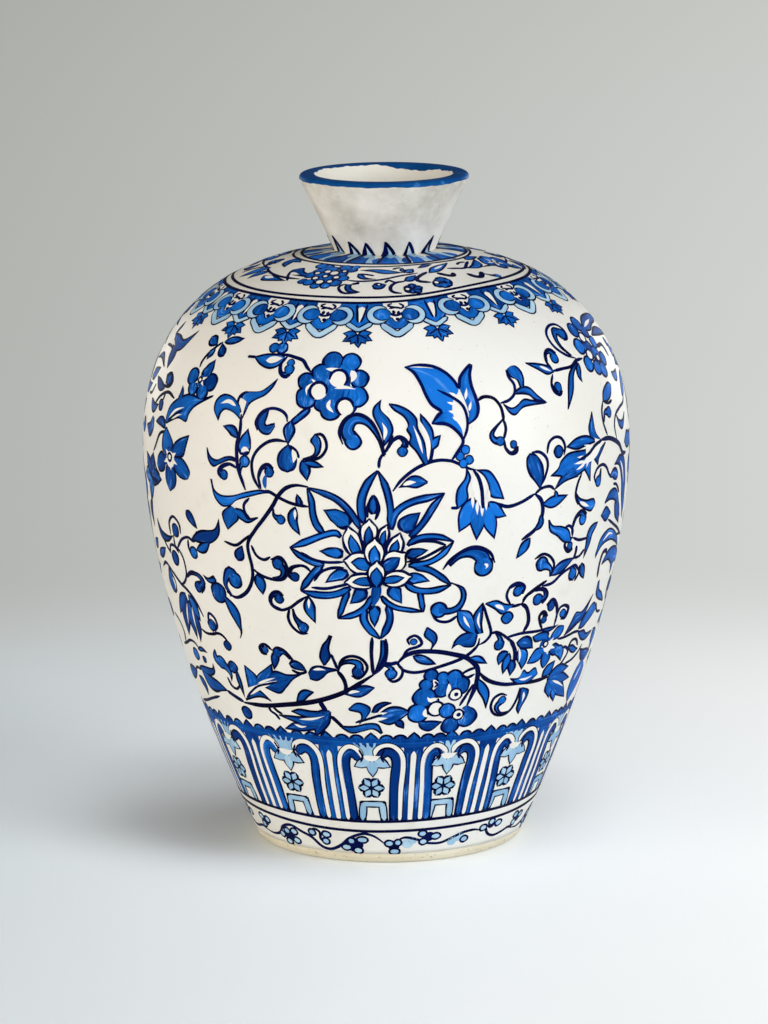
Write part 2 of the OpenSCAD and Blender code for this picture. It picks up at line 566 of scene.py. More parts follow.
def curl(radius, *points):
    """A fine line that hooks round a round head at the last point, with a crescent of paint inside."""
    *hook, head = points
    line(*hook)
    tail = hook[len(hook) // 2 - 1:]
    (ax, ay), (bx, by) = tail[-2:]
    side = 1 if (bx - ax) * (head[1] - ay) > (by - ay) * (head[0] - ax) else -1
    outlined("blue", EDGE_COAT, tail, CURL_WIDTH * radius, comma_shape, lean=side)
    dot(*head, radius)


def gleam(width, *points):
    """A stroke of bare white left in a wash."""
    stroke("white", GLEAM_COAT, points, width, leaf_shape)


def between(first, second):
    return (first[0] + second[0]) / 2, (first[1] + second[1]) / 2


def short_gleams(*pairs):
    for start, end in pairs:
        gleam(SHORT_GLEAM, start, between(start, end), end)


def rays(width, centre, *tips):
    """Gleams from the middle of a flower."""
    for tip in tips:
        gleam(width, centre, tip)


def petal_flower(centre, width, *tips):
    """Round petals from a middle to each tip."""
    for tip in tips:
        bud(width, centre, between(centre, tip), tip)


def bow(centre, radius, start, end):
    """Points on a circle about a centre, from one angle to another, counted from the right in degrees."""
    degrees, arc = centre
    per_degree = math.radians(radius_at(arc))
    turn = np.radians(np.linspace(start, end, CORNER_POINTS))
    return list(zip(degrees + radius * np.cos(turn) / per_degree, arc + radius * np.sin(turn)))


def lid(degrees, arc, radius, start, end):
    """A white eye with a dark line over part of its edge, between two angles counted from the right."""
    spot("white", EYE_COAT, (degrees, arc), radius)
    ink(FINE, *bow((degrees, arc), radius, start, end), level=EYE_COAT + 1)


# Scroll, motif by motif: a width or radius in millimetres, then points as degrees and arc length
def lotus_edges():
    """Both brushed edges of the ten outer petals: band width, then points from the tip to the base."""
    return (
        (4.0, (-2, 189), (-4.3, 183.5), (-5.7, 177), (-5.8, 171), (-5.3, 166)),
        (3.4, (-2, 189), (-0.4, 182.5), (0.5, 176), (0.8, 170.5), (0.5, 165)),
        (3.6, (13.2, 178.4), (10, 177), (6, 175.4), (3, 172.5), (1.4, 168.5), (0.9, 163)),
        (3.4, (13, 178.2), (10.6, 173), (8.5, 166.7), (6.7, 162.6), (5, 159.8)),
        (3.4, (-18.2, 180.8), (-14.5, 178.8), (-11.5, 176.4), (-9, 172.3), (-7.2, 167.5), (-6.2, 163.5)),
        (3.5, (-18.2, 180.8), (-17.3, 175), (-17, 169), (-16.2, 164.5), (-14.6, 161)),
        (3.0, (15.5, 156.8), (12, 159.2), (8.5, 159.6), (6, 158.2), (4.6, 155.8)),
        (3.2, (15.4, 156.8), (12.9, 151.5), (10.2, 148.4), (7.5, 147.2), (4.8, 146.8)),
        (3.4, (-23.2, 153.6), (-19, 156.8), (-15, 160), (-12, 161.4), (-10.6, 159.6)),
        (3.2, (-23, 153.6), (-20.4, 150), (-17.5, 147.6), (-14.8, 146.8)),
        (3.4, (15.2, 137), (12.6, 141), (9.6, 144.6), (6, 146.2)),
        (3.4, (15.2, 137), (11.6, 135), (8.5, 134.8), (6, 136), (4, 139)),
        (3.6, (-21.2, 134.2), (-19.3, 138.8), (-17.6, 142.6), (-15.4, 146.4)),
        (3.6, (-21.2, 134.2), (-17.6, 132.8), (-14, 132.8), (-11.2, 134.2), (-8.8, 136.6)),
        (3.0, (8.6, 124.8), (8.1, 130), (7.6, 135)),
        (2.8, (8.6, 125.2), (5, 126.2), (2, 127.4), (-0.2, 129.8), (-1.6, 133)),
        (3.2, (-12.3, 122), (-11.4, 126), (-10.6, 130), (-9.4, 135)),
        (3.2, (-12.3, 122), (-9, 123.5), (-6.8, 125.4), (-5, 128.4), (-3.8, 133)),
        (3.8, (-2, 112.6), (-4.5, 117), (-5.9, 121.8), (-5.6, 127.5)),
        (3.6, (-1.9, 112.6), (-0.3, 117.6), (0.5, 122.6), (0, 128.5)),
    )


def paint_lotus():
    for width, *points in lotus_edges():
        outlined("blue", EDGE_COAT, points, width, tip_shape, inset=0.9)
    line((13.6, 155.4), (11, 157.2), (7.5, 157.6), (5, 156))
    line((13.6, 155.2), (10, 151.6), (7.5, 149.6), (4.4, 148.4))
    line((-20.4, 152), (-17.5, 149), (-14, 148), (-10.2, 148.4))
    line((-18.4, 136), (-15, 135.8), (-12, 137), (-8.6, 138.8))
    line((-17.6, 139), (-16, 143), (-13.5, 145.3), (-10.2, 145.8))
    line((-4.4, 168.5), (-4.5, 172.5), (-3.2, 178.4))
    line((-2.7, 167.5), (-1.8, 172), (-2.2, 175.5), (-2.9, 178.4))
    hearts = (
        (4.8, (-3, 170), (-3.2, 174), (-2.9, 178.8)),
        (8.2, (3.6, 162), (4.8, 166), (7.6, 170.6)),
        (8.2, (-8.6, 164.8), (-11, 168.2), (-14.6, 171.6)),
        (5.4, (4.4, 151.2), (6.8, 152.6), (9.5, 153.6)),
        (5.6, (-10.2, 152), (-13, 152.6), (-16, 153)),
        (5.6, (4.4, 140.8), (7.2, 140.8), (10.1, 139.2)),
        (5.6, (-9.2, 143.6), (-12.2, 141.8), (-15, 138.4)),
        (6.6, (1, 137.6), (1.8, 133.8), (3.4, 129.2)),
        (6.6, (-5.6, 136.6), (-7, 132.6), (-9.2, 129)),
        (5.6, (-3, 128.4), (-3.3, 123.6), (-3.3, 118)),
    )
    for width, *points in hearts:
        outlined("blue", 5, points, width, heart_shape, inset=0.9)
    stroke("blue", 7, ((-2.4, 140), (-2.8, 134), (-3.6, 127.5)), 4.6, leaf_shape)
    stroke("line", 7, ((-3, 137), (-3, 150), (-3, 163)), 20, leaf_shape)
    inner = (
        (8.6, 4.4, (-4.4, 155), (-4.2, 162), (-4, 168.4)),
        (5.8, 3.2, (-1.4, 155), (-0.8, 161), (0.1, 165.8)),
        (8.8, 4.8, (-6.4, 150), (-8, 157.5), (-9, 165)),
        (7.6, 4.2, (0.4, 150), (1.9, 156), (3, 162)),
        (10.6, 6, (-3, 146), (-6.6, 148.2), (-10.4, 149.4)),
        (10.6, 6.2, (-1.4, 144.6), (1.4, 148.6), (4.4, 153)),
        (8.2, 4.6, (-2.4, 139.8), (-6.4, 139.8), (-10.4, 139.2)),
        (8.2, 4, (-1.8, 140), (2, 141), (6, 142.2)),
        (9.4, 5.2, (-2.8, 146), (-3, 153), (-2.8, 160.2)),
        (8.4, 5.6, (-2.6, 137), (-2.6, 143), (-2.4, 150)),
    )
    for order, (width, core, base, middle, tip) in enumerate(inner):
        level = LOTUS_HEART_COAT + 4 * order
        near_tip = ((base[0] + 3 * tip[0]) / 4, (base[1] + 3 * tip[1]) / 4)
        outlined("white", level, (base, middle, tip), width, cup_shape, inset=1.1)
        outlined("blue", level + 2, (base, middle, near_tip), core, cup_shape, inset=0.8)


def paint_lotus_stem():
    vine(1.7, (-4, 113.4), (-4.3, 105), (-4, 95))
    vine(1.9, (-0.6, 112.6), (-0.5, 106), (-1.4, 100), (-4, 95))
    blade([(-2, 112), (-2.3, 104), (-3.8, 96)], [(-0.7, 112), (-0.6, 105), (-3, 97)])


def paint_above_lotus():
    line((-1.8, 190), (-1.5, 194), (-0.3, 197))
    comma(3.8, (-0.5, 195.5), (-1.8, 203), (-4.5, 209.5), (-7.5, 210.5), (-9, 206), (-7.6, 201.3))
    line((-0.5, 195), (-1.5, 203), (-3.5, 210), (-6.5, 213), (-9.5, 211), (-10.9, 205.5), (-10, 200))
    blade([(-0.6, 199), (-1.2, 204.5), (-2.2, 208.5), (-3.3, 213), (-2.9, 216.5), (-1.2, 219.4)],
          [(-0.6, 199), (1, 202.5), (1.7, 206.5), (0.8, 211), (-1.2, 215), (-1.1, 219.4)])
    gleam(1.6, (-0.6, 202), (-0.2, 206), (-1, 209.5))
    line((-0.4, 196.5), (0.5, 199.5), (1.5, 204))
    curl(2.4, (0, 197.5), (1.5, 201.8), (3, 203.4), (4.6, 201.6), (4.8, 198.5), (3.6, 197))
    blade([(2.6, 181.4), (4.5, 181.6), (6.8, 181), (9.2, 183)],
          [(2.6, 181.6), (5, 186.2), (7.2, 186.6), (9.3, 184)])
    gleam(1.9, (3.6, 182.6), (5, 183.6), (6.6, 183.8))
    vine(1.5, (1.3, 180), (3.5, 185.2), (7, 190), (11, 192.6), (14.5, 192.3), (17, 190.3), (19, 188.4),
         (20.6, 187.6))


def paint_long_leaf():
    blade([(8.2, 191.4), (6.6, 196.6), (5, 200.2), (5.4, 203), (4.5, 206.2), (5, 208), (4, 211.6),
           (1.8, 214.4), (0.6, 217)],
          [(9.8, 192), (9.3, 197), (8.6, 202), (7.4, 207), (7.2, 211), (5.5, 214.6), (3, 217),
           (0.7, 217.8)])
    blade([(9.6, 192.4), (9.9, 198), (9, 204), (7.9, 209), (7.9, 213)],
          [(10.4, 192.6), (11, 199), (11, 204), (10.6, 207), (9.4, 210.4), (8, 213.2)])
    leaf(4.4, (10.4, 197), (11, 200.4), (12.6, 203.6))
    gleam(2.2, (9.4, 193), (9.5, 200), (8.6, 206), (7.4, 211))
    gleam(1.2, (8.2, 196), (7.4, 202), (6.2, 208))


def paint_tulip_leaf():
    wash([(17.9, 200.4), (16, 205.4), (13.6, 208.4), (12.7, 213.4), (10.6, 217), (9.3, 222), (8, 228),
          (5, 233.6)],
         [(18, 200.6), (17.5, 206), (16.2, 210), (15.7, 214), (16.3, 218.5), (17.8, 223.4), (14, 231.6),
          (5, 233.8)])
    wash([(14.5, 208.3), (12.5, 208.8), (10.6, 208.5)], [(14.5, 213), (13, 212.6), (10.6, 208.6)])
    wash([(19, 207), (19.7, 212), (19, 218), (18.2, 223), (18.6, 227), (20.2, 230.8), (22.2, 233.4)],
         [(19, 207), (21.2, 209.4), (22.1, 214), (21.8, 220), (21.2, 225), (21.4, 229), (22.3, 233.4)])
    ink(1.5, (14.8, 192.4), (16.4, 196), (17.8, 200.4), (16.4, 204.8), (14, 208), (10.6, 208.5))
    ink(1.5, (10.6, 208.5), (12.2, 212), (13, 213.6), (10.9, 216.6), (9.6, 221), (8.6, 226), (7, 231.2),
        (4.8, 233.8))
    ink(1.5, (4.8, 233.6), (8, 234.5), (12, 233.6), (15, 230.6), (17, 226.6), (18, 223.2), (18.6, 227.4),
        (20.2, 230.8), (22.3, 233.4), (21.4, 229), (21.3, 224), (22, 218), (22.2, 214), (21.4, 210),
        (19, 207))
    ink(1.3, (17.8, 200.4), (19, 206), (19.1, 211.5), (18.2, 216), (16, 219.4), (12.5, 223))
    short_gleams(((17, 209), (15.6, 211)), ((16.6, 212.5), (14.8, 213.6)), ((16.8, 216), (14.6, 217.4)),
                 ((17.2, 219.6), (15.4, 221.6)), ((19.8, 213), (20.6, 217)), ((19.2, 218), (20, 223)))
    dots((18.2, 196.6, 2.2), (16.9, 194, 2.2), (19, 192.2, 2.2), (17.6, 190.8, 2.2))


def paint_drooping_leaf():
    blade([(18.2, 189), (17.8, 184.5), (16, 180), (15.6, 175), (16, 171.2)],
          [(18.4, 189), (19.4, 184.5), (18.6, 180), (18.7, 175), (16.4, 171.2)])
    line((16.3, 171.6), (14.6, 171.8))
    blade([(20.6, 187.5), (22.5, 184.5), (23.6, 180), (24.2, 175.2), (27.6, 173.6)],
          [(20.6, 187.9), (23.8, 187.1), (25.8, 182.5), (26.9, 178), (27.7, 173.8)])
    leaf(8.6, (20, 176), (18.4, 168), (16.5, 160.6))
    leaf(8.6, (21, 175), (21.1, 166), (20.9, 156.4))
    leaf(7.4, (22.6, 173), (24.2, 164), (25.5, 156.2))
    leaf(6.6, (23.6, 173.5), (25.8, 168.6), (28.4, 166))
    gleam(6.6, (20, 186.5), (21.4, 179), (21.6, 171.5))
    for degrees, top in ((19.7, 177), (20.8, 174), (22, 173), (23, 175.5), (23.6, 179)):
        stroke("white", 6, ((degrees, top), (degrees + 0.1, top - 6)), 1.5, leaf_shape)
    ink(1.7, (19.9, 187.8), (21.2, 184), (22, 178), (22.2, 170.6), level=7)


def paint_right_upper():
    vine(1.5, (22, 216.8), (24, 218.6), (26.5, 217.6), (28, 214), (28.4, 210), (28.3, 206.6))
    comma(2.2, (28.4, 208.4), (26, 204.8), (24.9, 202), (25.6, 199.6), (27, 199))
    line((28.4, 208), (28.7, 204), (27.9, 199.6))
    curl(1.9, (28, 199.8), (28.2, 196), (29.4, 193.2), (31, 193.4), (31.6, 196), (30.4, 197))
    blade([(34.4, 221), (34, 224.5), (32.4, 226), (31.7, 229), (33.2, 230.8)],
          [(35.8, 221), (36.4, 225), (36.1, 228.5), (34.9, 230.9), (33.4, 230.9)])
    line((31.7, 229.4), (32, 226), (33, 222.6), (32.5, 218.6), (30.5, 216), (28.2, 215.2))
    blade([(32.8, 218), (35, 217.7), (36.8, 216.7), (38, 214.6), (41.6, 212.6)],
          [(32.6, 219.7), (35, 221.5), (37.3, 220.6), (39.2, 216.8), (41.6, 213)])
    blade([(28.8, 214.6), (30.2, 210.4), (31.8, 209.2), (34, 211.8), (36.5, 212.4), (41.2, 212.4)],
          [(29, 214.9), (31, 212.8), (32.8, 213.8), (34.8, 216), (37, 215.2), (41.2, 213)])
    vine(1.6, (25.6, 172.4), (28.5, 170.3), (32, 171.3), (36, 174.3))
    vine(2, (36, 174.3), (37.9, 171), (38.5, 166), (37.8, 161), (36, 157.6), (32.8, 154.4))
    leaf(3.8, (38, 165), (38, 160.5), (35.8, 157.4))
    leaf(5, (35.3, 155), (33.5, 150.5), (31.6, 146))
    bud(8.4, (37.6, 175.5), (36.9, 182), (35.5, 188), (34.6, 192.4))
    line((35.2, 192.6), (37.5, 192.2), (39.3, 189.5), (39.8, 186), (39, 181.5), (37.8, 177.6))
    line((39.7, 191), (40.5, 195.5), (42.5, 197.5), (44.5, 196.5), (45.5, 193), (45, 189))
    dot(43.3, 191, 3)
    line((36, 174.2), (38, 176.3), (40.5, 176.5), (42, 174.5))
    leaf(5.5, (38.2, 169), (42, 169.5), (46.5, 171.3))
    leaf(3, (42, 174.5), (42.5, 171.5), (41.5, 168.5))


def paint_trident_leaf():
    blade([(57, 193), (53.5, 195.6), (49.5, 195.4), (46, 192.6)],
          [(57, 191.2), (53, 190.6), (49.5, 190), (46, 192)])
    blade([(55, 194.4), (54.8, 198.6), (57, 204.8)], [(60, 191.4), (57.7, 196), (57.3, 204.8)])
    blade([(53, 189.6), (47, 189.8), (44, 187), (43, 184), (40.6, 181.2)],
          [(53, 180.8), (49.5, 178.4), (46, 178), (44, 179.6), (40.6, 180.8)])
    blade([(48, 184), (44.4, 181), (41.8, 174.8)], [(50, 178.2), (45.5, 177.2), (42.1, 174.6)])
    blade([(51.4, 181.8), (53, 178.6), (54.5, 174.8)], [(55.6, 185.4), (54.9, 181.5), (54.9, 174.8)])
    blade([(61.8, 190.2), (58, 186.8), (56.2, 184.6), (57.8, 181)],
          [(62.2, 189.6), (60, 186), (58.6, 183.6), (58.2, 181)])
    gleam(4.4, (60, 190), (56, 186.4), (51, 183))
    short_gleams(((53, 186), (49.6, 186.8)), ((52.6, 184.4), (48.4, 184.2)), ((52.4, 183), (49.2, 181.4)),
                 ((54, 185), (53, 181.4)), ((56, 189.6), (52.4, 191.4)))
    ink(1.5, (50, 185.4), (54, 187), (57, 190), (60.5, 191.4), level=7)
    vine(2.2, (60, 191.5), (64, 191), (68, 188.6), (71, 185.8), (73.5, 181.4), (77, 180.4))


def paint_right_curls():
    line((51.3, 179.4), (49.8, 175), (49.2, 170), (50.3, 165.5))
    blade([(49.2, 172), (50.8, 168.8), (53.6, 167), (56.6, 166.8), (57.6, 164.4)],
          [(49.1, 171), (50.5, 165.6), (53, 162.6), (55.8, 160.8), (57.4, 163)])
    gleam(1.8, (50.8, 166.8), (52.8, 165), (54.8, 163.6))
    curl(2.8, (49.2, 151.5), (48.8, 156), (49.8, 160.4), (52, 162.6), (54.2, 160.6), (52.6, 158.4))
    line((66, 172.6), (64, 175), (62.5, 178.4), (60.5, 180.4), (58, 179.7), (56.6, 176.5), (57.2, 173))
    comma(2.6, (59.5, 179), (59.2, 176), (58.4, 173.6))
    blade([(40.3, 161.6), (41, 156.3), (43.5, 153.3), (46, 149.8), (48.7, 148.6)],
          [(40.8, 161.6), (42.1, 158.8), (45, 157.7), (47.6, 155.4), (49, 150)])
    line((46, 156.4), (47.6, 157), (49, 154.8), (49.2, 152))
    blade([(38.3, 231), (41.5, 227.4), (44, 224.6), (46.6, 225)],
          [(38.3, 231.7), (42, 230.7), (45.5, 228.7), (46.8, 226)])
    gleam(1.3, (42.4, 229), (44.4, 227.2), (45.8, 225.8))
    vine(1.5, (46.4, 225.8), (50, 226), (54, 226.1), (57, 228), (60.4, 228.2))
    curl(2.7, (46.5, 226), (45.4, 230.5), (46.2, 234.4), (48.3, 235.8), (50.3, 233.6), (48.8, 231.4))
    curl(2.4, (46, 224.5), (44.6, 220.5), (44.8, 217), (46.4, 215), (47.7, 216.6), (46.5, 218.6))
    line((57.4, 229), (54, 231.5), (51, 236), (50.2, 241), (51.5, 244.7), (54.5, 246.8), (57.5, 246.2),
         (59.2, 242.6), (58.2, 238.6), (56.2, 238.2))
    comma(3, (56, 230.6), (53.6, 235.4), (53.2, 240), (54.8, 243.4), (57, 241.4))
    blade([(57, 227.8), (52.5, 224.2), (50, 218), (48, 208.2)],
          [(57.6, 226.6), (54, 222.4), (51.6, 215), (48.4, 208.2)])
    leaf(4, (57.6, 227), (56, 221.8), (56.3, 218))


def paint_right_rosette():
    dots((64, 241.4, 4), (68.6, 243.4, 4.2), (62, 233.6, 4.2), (62.4, 225, 4), (66.4, 222.2, 3.8),
         (69.6, 220.4, 4), (72.4, 224.6, 3.6), (71.4, 233, 3.4), (70, 239, 3.6), (66, 231, 5), (69, 228, 4))
    eyes((66.2, 236.8, 3), (64.9, 228.6, 3), (69, 226, 2.2))
    blade([(70, 240.4), (74, 244.8), (79, 245.8), (87, 244), (95, 240)],
          [(70.5, 238.8), (75, 237.8), (80, 239.3), (87, 239), (95, 239.4)])
    gleam(1.6, (72, 240.6), (76, 241.6), (82, 242))
    blade([(63.4, 207.4), (65, 212), (69, 214.8), (71, 213)],
          [(63.6, 207), (66.6, 206.6), (69.4, 208.6), (71, 212.4)])
    line((63.5, 207.5), (62, 203.5), (62, 198), (63.4, 192.4))
    comma(2.7, (62.4, 198.6), (63.4, 202.4), (65.8, 202))
    line((64, 207.2), (66.5, 205.8), (69, 206.4))


def paint_right_edge():
    blade([(73.6, 236.4), (80, 238.6), (88, 235), (94, 230)],
          [(73.6, 235.4), (80, 233.6), (88, 231.6), (94, 229.4)])
    vine(2, (72.6, 230.4), (77, 230), (78.4, 224))
    leaf(5, (74.4, 217.6), (77, 214.8), (80.6, 217.4))
    leaf(7, (79, 205), (84, 210.6), (89, 214))
    line((69, 189), (68.2, 195), (70, 199.6), (74, 201.6), (79, 203), (83, 209))
    blade([(70.4, 199.6), (72, 197), (75, 196), (78, 198.4)],
          [(70.2, 199), (71.6, 193.6), (74.6, 191.8), (78.2, 197.8)])
    blade([(75.6, 186), (78.4, 190), (82, 188.6), (88, 187.6), (95, 183)],
          [(75.6, 185.4), (78, 182), (83, 181.6), (88, 182.4), (95, 182.4)])
    blade([(67.2, 178), (70.6, 176.4), (73, 170), (75, 160), (78.6, 150)],
          [(67.4, 178.6), (71.4, 181.6), (75.6, 178), (78, 168), (79, 158), (79, 150)])
    gleam(1.4, (71.4, 178.6), (73.8, 174), (75.6, 167))
    bud(5.6, (64.4, 173.2), (67, 174.4), (70, 171.8))
    line((67, 169.6), (69.4, 168.4), (72, 164))
    blade([(62.6, 162), (66, 162.6), (70, 160), (74.6, 152)],
          [(62.6, 163), (65.4, 167.4), (70, 166), (75, 152.6)])
    blade([(61, 157.4), (63.6, 160.8), (66.8, 157)], [(61, 157), (64, 153.4), (66.8, 156.4)])
    leaf(7, (69, 160.4), (72, 155.6), (75, 149))
    line((65.6, 154), (70, 150.4), (75, 146.6), (80, 142.4))
    blade([(60.8, 139.6), (62.6, 146.6), (67.6, 149.4), (74, 145), (80, 137)],
          [(61.2, 137.6), (64, 142.4), (69, 143.2), (74, 140.6), (80, 136.4)])
    gleam(1.2, (64, 144.6), (67.4, 146.8), (71, 145.4))
    line((72, 143.4), (77, 143.4), (82, 141.6))
    vine(2, (64.8, 127.4), (64.4, 133), (65.4, 138.4), (67.6, 139), (68.6, 136.6))
    blade([(66, 134), (70, 139), (76, 138.4), (82, 134), (88, 126)],
          [(66, 132.8), (70.4, 133.4), (75, 129.8), (82, 129), (88, 125.4)])
    leaf(6, (74, 134), (76, 130), (76, 125))
    blade([(66, 125), (66.2, 119.4), (69, 115.6), (75, 112.4)],
          [(67, 125.6), (68.2, 121), (71, 118.6), (75, 113.6)])
    line((68.6, 114), (71, 109.4), (75, 108))
    blade([(61.6, 105.6), (63, 111.8), (66.4, 115.4), (69.6, 112)],
          [(61.8, 105), (64.6, 106), (67.4, 108.6), (69.6, 111)])
    blade([(60.4, 103.4), (64, 103.2), (66.4, 100.8), (71, 100.4)],
          [(60.4, 102.6), (63.4, 98.2), (67, 97), (71, 99.4)])
    leaf(7, (72.4, 100.6), (75, 95), (74.6, 88.6))
    blade([(65.2, 93.6), (68, 92.4), (72, 91.4), (76, 89)],
          [(65.2, 93), (67.6, 87.2), (71.6, 85.2), (76, 88.2)])
    blade([(68, 66), (65, 73), (66.4, 82), (69.6, 86.6)],
          [(68.6, 66), (73.6, 73), (75.4, 80), (70.8, 86.4)])
    gleam(1.4, (68, 77), (69.4, 80.4), (70.6, 83.6))


def paint_left_rosette():
    dots((-13.8, 236.3, 4.8), (-9, 236, 4.6), (-16.4, 230.6, 4.6), (-20, 226.6, 4.2), (-19.4, 219.6, 5.2),
         (-15.4, 217.4, 4), (-6.6, 228.4, 4.4), (-7, 220.6, 5), (-13.2, 215, 5.2), (-9, 216.4, 4))
    spots("blue", WASH_COAT, (-12.6, 224.6, 7), (-10, 232, 3.6), (-16.4, 226, 4), (-9, 221, 4))
    lid(-16.6, 222.6, 3.8, -20, 250)
    lid(-11.8, 228.4, 3.9, -50, 190)
    lid(-9.8, 216, 3.7, 0, 250)
    gleam(1.5, (-18.8, 227.8), (-17.8, 226), (-19.6, 223.6), (-19.4, 220.4))
    gleam(1.6, (-15.4, 232.6), (-13.4, 232.4), (-11.4, 233))
    gleam(3, (-8.8, 232.2), (-8, 229.6), (-8.6, 226.8))
    gleam(1.8, (-13.4, 219), (-13.8, 216), (-12.4, 213.4))
    gleam(1.4, (-12.6, 224), (-10, 224.6), (-7.4, 223.8))


def paint_upper_left():
    dots((-31.5, 241, 2.6), (-29, 241.2, 3))
    blade([(-36.6, 235.4), (-34, 232.2), (-31, 230.8), (-28.6, 232.4), (-27.4, 236)],
          [(-36.6, 236), (-33.6, 237.8), (-31, 238.4), (-28.6, 238.4), (-27.4, 237.4)])
    gleam(3.4, (-32.6, 234.6), (-30.4, 235.4), (-28, 236.4))
    line((-36.2, 235.8), (-38.8, 235.6))
    vine(1.6, (-28.5, 238.2), (-26.5, 238), (-24.5, 237.3), (-22, 236), (-20.5, 233), (-19.2, 230.8))
    curl(2.5, (-26.6, 237.6), (-28, 233.6), (-27.6, 229.6), (-26, 227.8), (-24.6, 229), (-25.2, 231.4))
    dot(-25.2, 234.6, 1.9)
    blade([(-36, 207), (-35.6, 212), (-35.4, 216.2), (-37.2, 217), (-36, 219.8), (-32, 220.8),
           (-29.8, 223.6), (-27.9, 227)],
          [(-36, 206.6), (-35, 211), (-34.4, 214.2), (-33.2, 216.2), (-31.8, 217.6), (-30.2, 219.2),
           (-28.6, 222.6), (-27.7, 226.8)])
    line((-36.4, 210.6), (-37.8, 214.4), (-37.4, 217.8), (-35.6, 220))
    blade([(-36.4, 207.6), (-38.5, 210), (-41, 211), (-42.3, 209.3), (-42.8, 206)],
          [(-37, 213.6), (-39.5, 217), (-42.5, 217.8), (-44.7, 215), (-45, 210.5), (-43, 205.8)])
    gleam(1.9, (-38.2, 213.2), (-40.6, 214.8), (-43, 213.4))
    vine(1.8, (-36.2, 210), (-36, 203), (-36.6, 197), (-36.4, 191), (-36, 186.5), (-34.8, 181),
         (-34, 177.4))
    leaf(4.6, (-36.4, 199.4), (-38.4, 202.8), (-41.3, 204))
    leaf(7.4, (-34.4, 192.6), (-34.4, 197), (-33.7, 204.4), shape=heart_shape)
    gleam(2.2, (-35.2, 193.8), (-34.2, 195.4), (-33, 194.6))
    comma(2.8, (-35.4, 184.8), (-35.2, 187.6), (-34.2, 190))
    blade([(-45.9, 193.6), (-45.3, 188.4), (-43.6, 185.6), (-41.5, 187.2), (-38.6, 189.4), (-36.4, 189)],
          [(-45.6, 193.6), (-44.4, 190.2), (-42.4, 189.2), (-40, 191), (-38, 191.6), (-36.4, 190.8)])
    curl(2.4, (-36.2, 186.5), (-38.6, 188), (-41, 186.6), (-42, 183.8), (-41, 181.2), (-40.2, 183))
    blade([(-44.6, 180.2), (-43.5, 172.6), (-41.2, 168.8), (-38.6, 169.6), (-36.6, 172.4), (-33, 174.6),
           (-29.5, 176.6), (-27, 177.2)],
          [(-44, 180.2), (-43.3, 176), (-41.2, 174), (-37.6, 174.6), (-34, 176.8), (-30.5, 178.4),
           (-28.5, 178.4), (-27, 177.8)])
    blade([(-38.6, 170), (-41.2, 166.5), (-41.2, 163), (-40, 158.6)],
          [(-37.2, 168.6), (-36.2, 164.4), (-38, 161.2), (-39.8, 158.6)])
    blade([(-38, 166.4), (-35.5, 163.6), (-33.5, 162.8), (-30.8, 165.6)],
          [(-37, 169.2), (-35, 168.6), (-33.8, 165.4), (-31, 166.2)])
    line((-33, 174.2), (-34.6, 171), (-34.4, 167.5), (-33, 164.6))
    vine(1.5, (-29.4, 178), (-27.6, 177.8), (-25, 175.5), (-22, 173.5), (-18, 172.5))


def paint_circle_vine():
    vine(1.5, (-30.2, 178.6), (-31.8, 184), (-32.2, 190), (-31, 195), (-28.5, 199), (-26, 200.4),
         (-23.4, 200))
    curl(2.4, (-29.8, 178.6), (-30.4, 184), (-29.6, 188.2), (-28, 189.8), (-26.5, 188.2), (-27.6, 186.4))
    stroke("blue", 3, ((-28.6, 179), (-28.8, 182.6), (-28.2, 186)), 2.2, leaf_shape)
    line((-23.6, 208.5), (-24, 211.2), (-25.5, 213.2), (-28, 213.8), (-30.5, 211.9), (-31.8, 207.6),
         (-31.2, 203.8))
    blade([(-28.6, 213.6), (-31, 210.5), (-31.6, 206.4), (-30.2, 202.8), (-28, 202.4), (-26.6, 206)],
          [(-28.6, 212.8), (-28.8, 210), (-29.2, 207.4), (-28.8, 206.6), (-28, 207.2), (-26.8, 207.8)])
    leaf(3.4, (-18.2, 215), (-20.2, 211.6), (-22.6, 207.8), shape=line_shape)
    leaf(5.8, (-22.6, 209.4), (-23, 204), (-23.1, 198.6))
    bud(9.8, (-22.9, 199.4), (-23.2, 194), (-23, 186.8))
    gleam(2.4, (-21.9, 197), (-21.3, 194.2), (-21.6, 191.2))
    line((-22.8, 198.6), (-21, 196.4), (-20.2, 193.4))
    leaf(5.4, (-19.6, 192.8), (-18.7, 188.4), (-18.2, 183.6))
    leaf(3.8, (-19.6, 191.6), (-17.4, 191.4), (-14.2, 190))
    line((-19, 193), (-15.6, 193.8), (-13.9, 197.4), (-13.9, 201), (-15, 203.9), (-16.8, 203.8))
    blade([(-19.4, 193.4), (-16.9, 195.4), (-16.7, 198.5), (-17.8, 201), (-16.8, 203.8)],
          [(-19.4, 192.4), (-15.9, 194.4), (-14.9, 198.5), (-15.2, 202), (-16.2, 204)])
    comma(2.3, (-26.8, 170.6), (-26.6, 167.6), (-25, 166))
    leaf(5.2, (-21.2, 172.4), (-22, 166), (-20.3, 159.4))
    gleam(1.3, (-21.3, 171), (-21.4, 166.4))
    leaf(3.8, (-20, 172.4), (-20.8, 178), shape=heart_shape)


